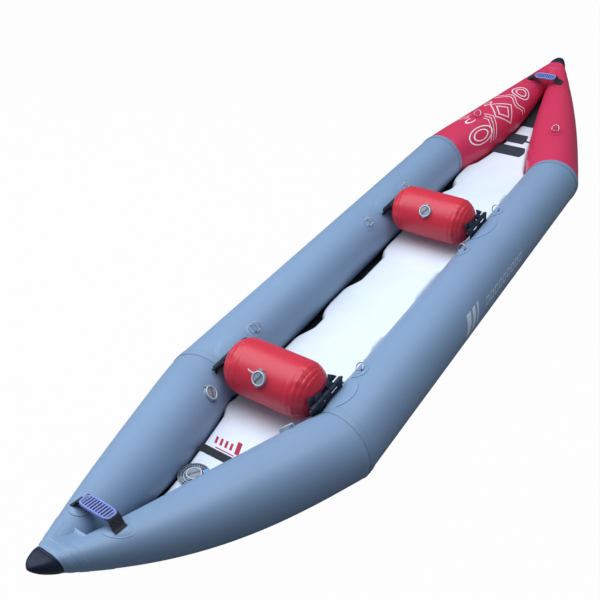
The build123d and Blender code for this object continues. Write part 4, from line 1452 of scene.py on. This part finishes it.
def collar_finish():
    """Printed ring: dark ground, fine pale rings and ticks, and one blue sector."""
    finish = moulded("collar print", (0.06, 0.07, 0.09), 0.42)
    s = finish.axis(0, finish.surface_place)
    t = finish.axis(1, finish.surface_place)
    pale = (0.62, 0.66, 0.72)
    rings = s.between(0.17, 0.24, 0.015).most(s.between(0.88, 0.93, 0.015))
    ticks = ((t * (2 * math.pi * 36)).sine().under(-0.55, 0.2)) * s.between(0.50, 0.62, 0.02)
    sectors = t.between(0.02, 0.19, 0.003)
    light_part = t.between(0.62, 0.72, 0.003)
    ground = finish.mix(light_part * 0.5, (0.035, 0.045, 0.065), (0.30, 0.33, 0.38))
    blue = finish.mix(sectors * s.between(0.28, 0.84, 0.02), ground, (0.10, 0.36, 0.72))
    marks = rings.most(ticks * (1 - sectors))
    return finish.set(Base_Color=finish.mix(marks, blue, pale))


collar = collar_shape(ValvePlace("floor"))
piece("floor_valve_ring", collar, collar_finish(), "collar_dark", ["floor_valve_collar"])


# %% Tether of the stern thwart's cap
def tether_shape(at):
    """Short white tag that curls up from under the cap."""

    def place(s, t):
        reach = 0.020 + 0.022 * s
        lift = 0.0105 + 0.006 * math.sin(math.pi * 0.5 * s)
        across = -reach
        along = 0.012 + 0.006 * s * s + (2 * t - 1) * 0.0032 * (1 - 0.5 * s)
        return at.point(across, along, lift)

    return panel(24, 8, place, thickness=0.0012)


tag_white = moulded("tag white", (0.78, 0.79, 0.80), 0.5)
tag = tether_shape(ValvePlace("stern_thwart"))
piece("stern_thwart_tag", tag, tag_white, "valve_grey", body="stern_thwart_valve_cap_body")

# %% [markdown]
# ## Finishes for the parts that came from CAD
#
# What stays from the CAD model is hard: steel rings, plastic valves, rods and wear strips. Each
# object's material slots get a finish; its mesh is left alone.

# %% Carried-over nodes
CAD_FINISHES = {
    "_ring": ring_steel,
    "_valve_body": valve_grey,
    "_valve_cap": valve_grey,
    "_valve_plunger": valve_dark,
    "lacing_rods": rod_black,
    "keel_strip": wear_rubber,
    "tube_wear_strips": wear_rubber,
}


def cad_finish(node_name):
    return next((finish for ending, finish in CAD_FINISHES.items() if node_name.endswith(ending)), None)


painted = 0
for made in bpy.context.scene.objects:
    node_name = made.get("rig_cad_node")
    if not node_name or made.hide_render or made.type != "MESH":
        continue
    finish = cad_finish(node_name)
    for slot_index in range(len(made.material_slots)):
        made.material_slots[slot_index].material = finish.material
    painted += 1
print(painted, "CAD nodes given a finish")

# %% [markdown]
# ## Stage, light and camera
#
# A plain pale floor and a wide, soft overhead light show the shape. The camera stands over the
# stern on the starboard side and looks along the boat.


# %% Floor of the studio
GLOW_SHARE = 0.98


def stage_finish():
    """Pale floor that keeps its shadow, and looks plain white to the camera."""
    finish = Finish("studio floor")
    grain = finish.noise(2.0, detail=2.0)
    finish.set(Base_Color=finish.mix(grain, (0.21, 0.22, 0.24), (0.24, 0.25, 0.26)), Roughness=0.9)
    glow = finish.node("ShaderNodeEmission", inputs={"Color": (1.0, 1.0, 1.0), "Strength": 1.0})
    share = finish.node("ShaderNodeLightPath", output="Is Camera Ray") * GLOW_SHARE
    lit = Wire(finish, finish.shader.outputs[0])
    finish.show("Material Output", finish.node("ShaderNodeMixShader", inputs={0: share, 1: lit, 2: glow}))
    return finish


ground = bmesh.new()
bmesh.ops.create_grid(ground, x_segments=1, y_segments=1, size=40.0)
ground_mesh = bpy.data.meshes.new("studio_floor")
ground.to_mesh(ground_mesh)
ground.free()
ground_mesh.materials.append(stage_finish().material)
studio_floor = bpy.data.objects.new("studio_floor", ground_mesh)
studio_floor.location.z = -0.0005
bpy.context.scene.collection.objects.link(studio_floor)


# %% World and lamps
world = bpy.data.worlds.new("studio")
bpy.context.scene.world = world
world.use_nodes = True
sky = Board(world.node_tree)
sky_light = sky.node("ShaderNodeBackground", inputs={"Color": (0.74, 0.87, 1.0), "Strength": 0.20})
plain_white = sky.node("ShaderNodeBackground", inputs={"Color": (1.0, 1.0, 1.0), "Strength": 1.0})
camera_ray = sky.node("ShaderNodeLightPath", output="Is Camera Ray")
backdrop = {0: camera_ray, 1: sky_light, 2: plain_white}
sky.show("World Output", sky.node("ShaderNodeMixShader", inputs=backdrop))


def soft_lamp(name, place, target, width, power, colour):
    lamp = bpy.data.lights.new(name, "AREA")
    lamp.shape = "RECTANGLE"
    lamp.size, lamp.size_y = width
    lamp.energy = power
    lamp.color = colour
    holder = bpy.data.objects.new(name, lamp)
    holder.location = place
    aim = Vector(target) - Vector(place)
    holder.rotation_euler = aim.to_track_quat("-Z", "Y").to_euler()
    bpy.context.scene.collection.objects.link(holder)


soft_lamp("overhead", (-1.2, -0.6, 4.0), (0, -0.1, 0), (4.2, 8.5), 410, (0.82, 0.91, 1.0))

# %% Camera
camera = bpy.data.objects.new("camera", bpy.data.cameras.new("camera"))
bpy.context.scene.collection.objects.link(camera)
camera.data.sensor_width = 36.0
camera.data.lens = 45.07
CAMERA_PLACE = Vector((1.1728, -2.3094, 1.9471))
heading = Matrix.Rotation(0.6359, 4, "Z")
tilt = Matrix.Rotation(math.pi / 2 - 0.6501, 4, "X")
roll = Matrix.Rotation(-0.0731, 4, "Z")
camera.matrix_world = Matrix.Translation(CAMERA_PLACE) @ heading @ tilt @ roll
bpy.context.scene.camera = camera
bpy.context.scene.view_settings.view_transform = "Standard"
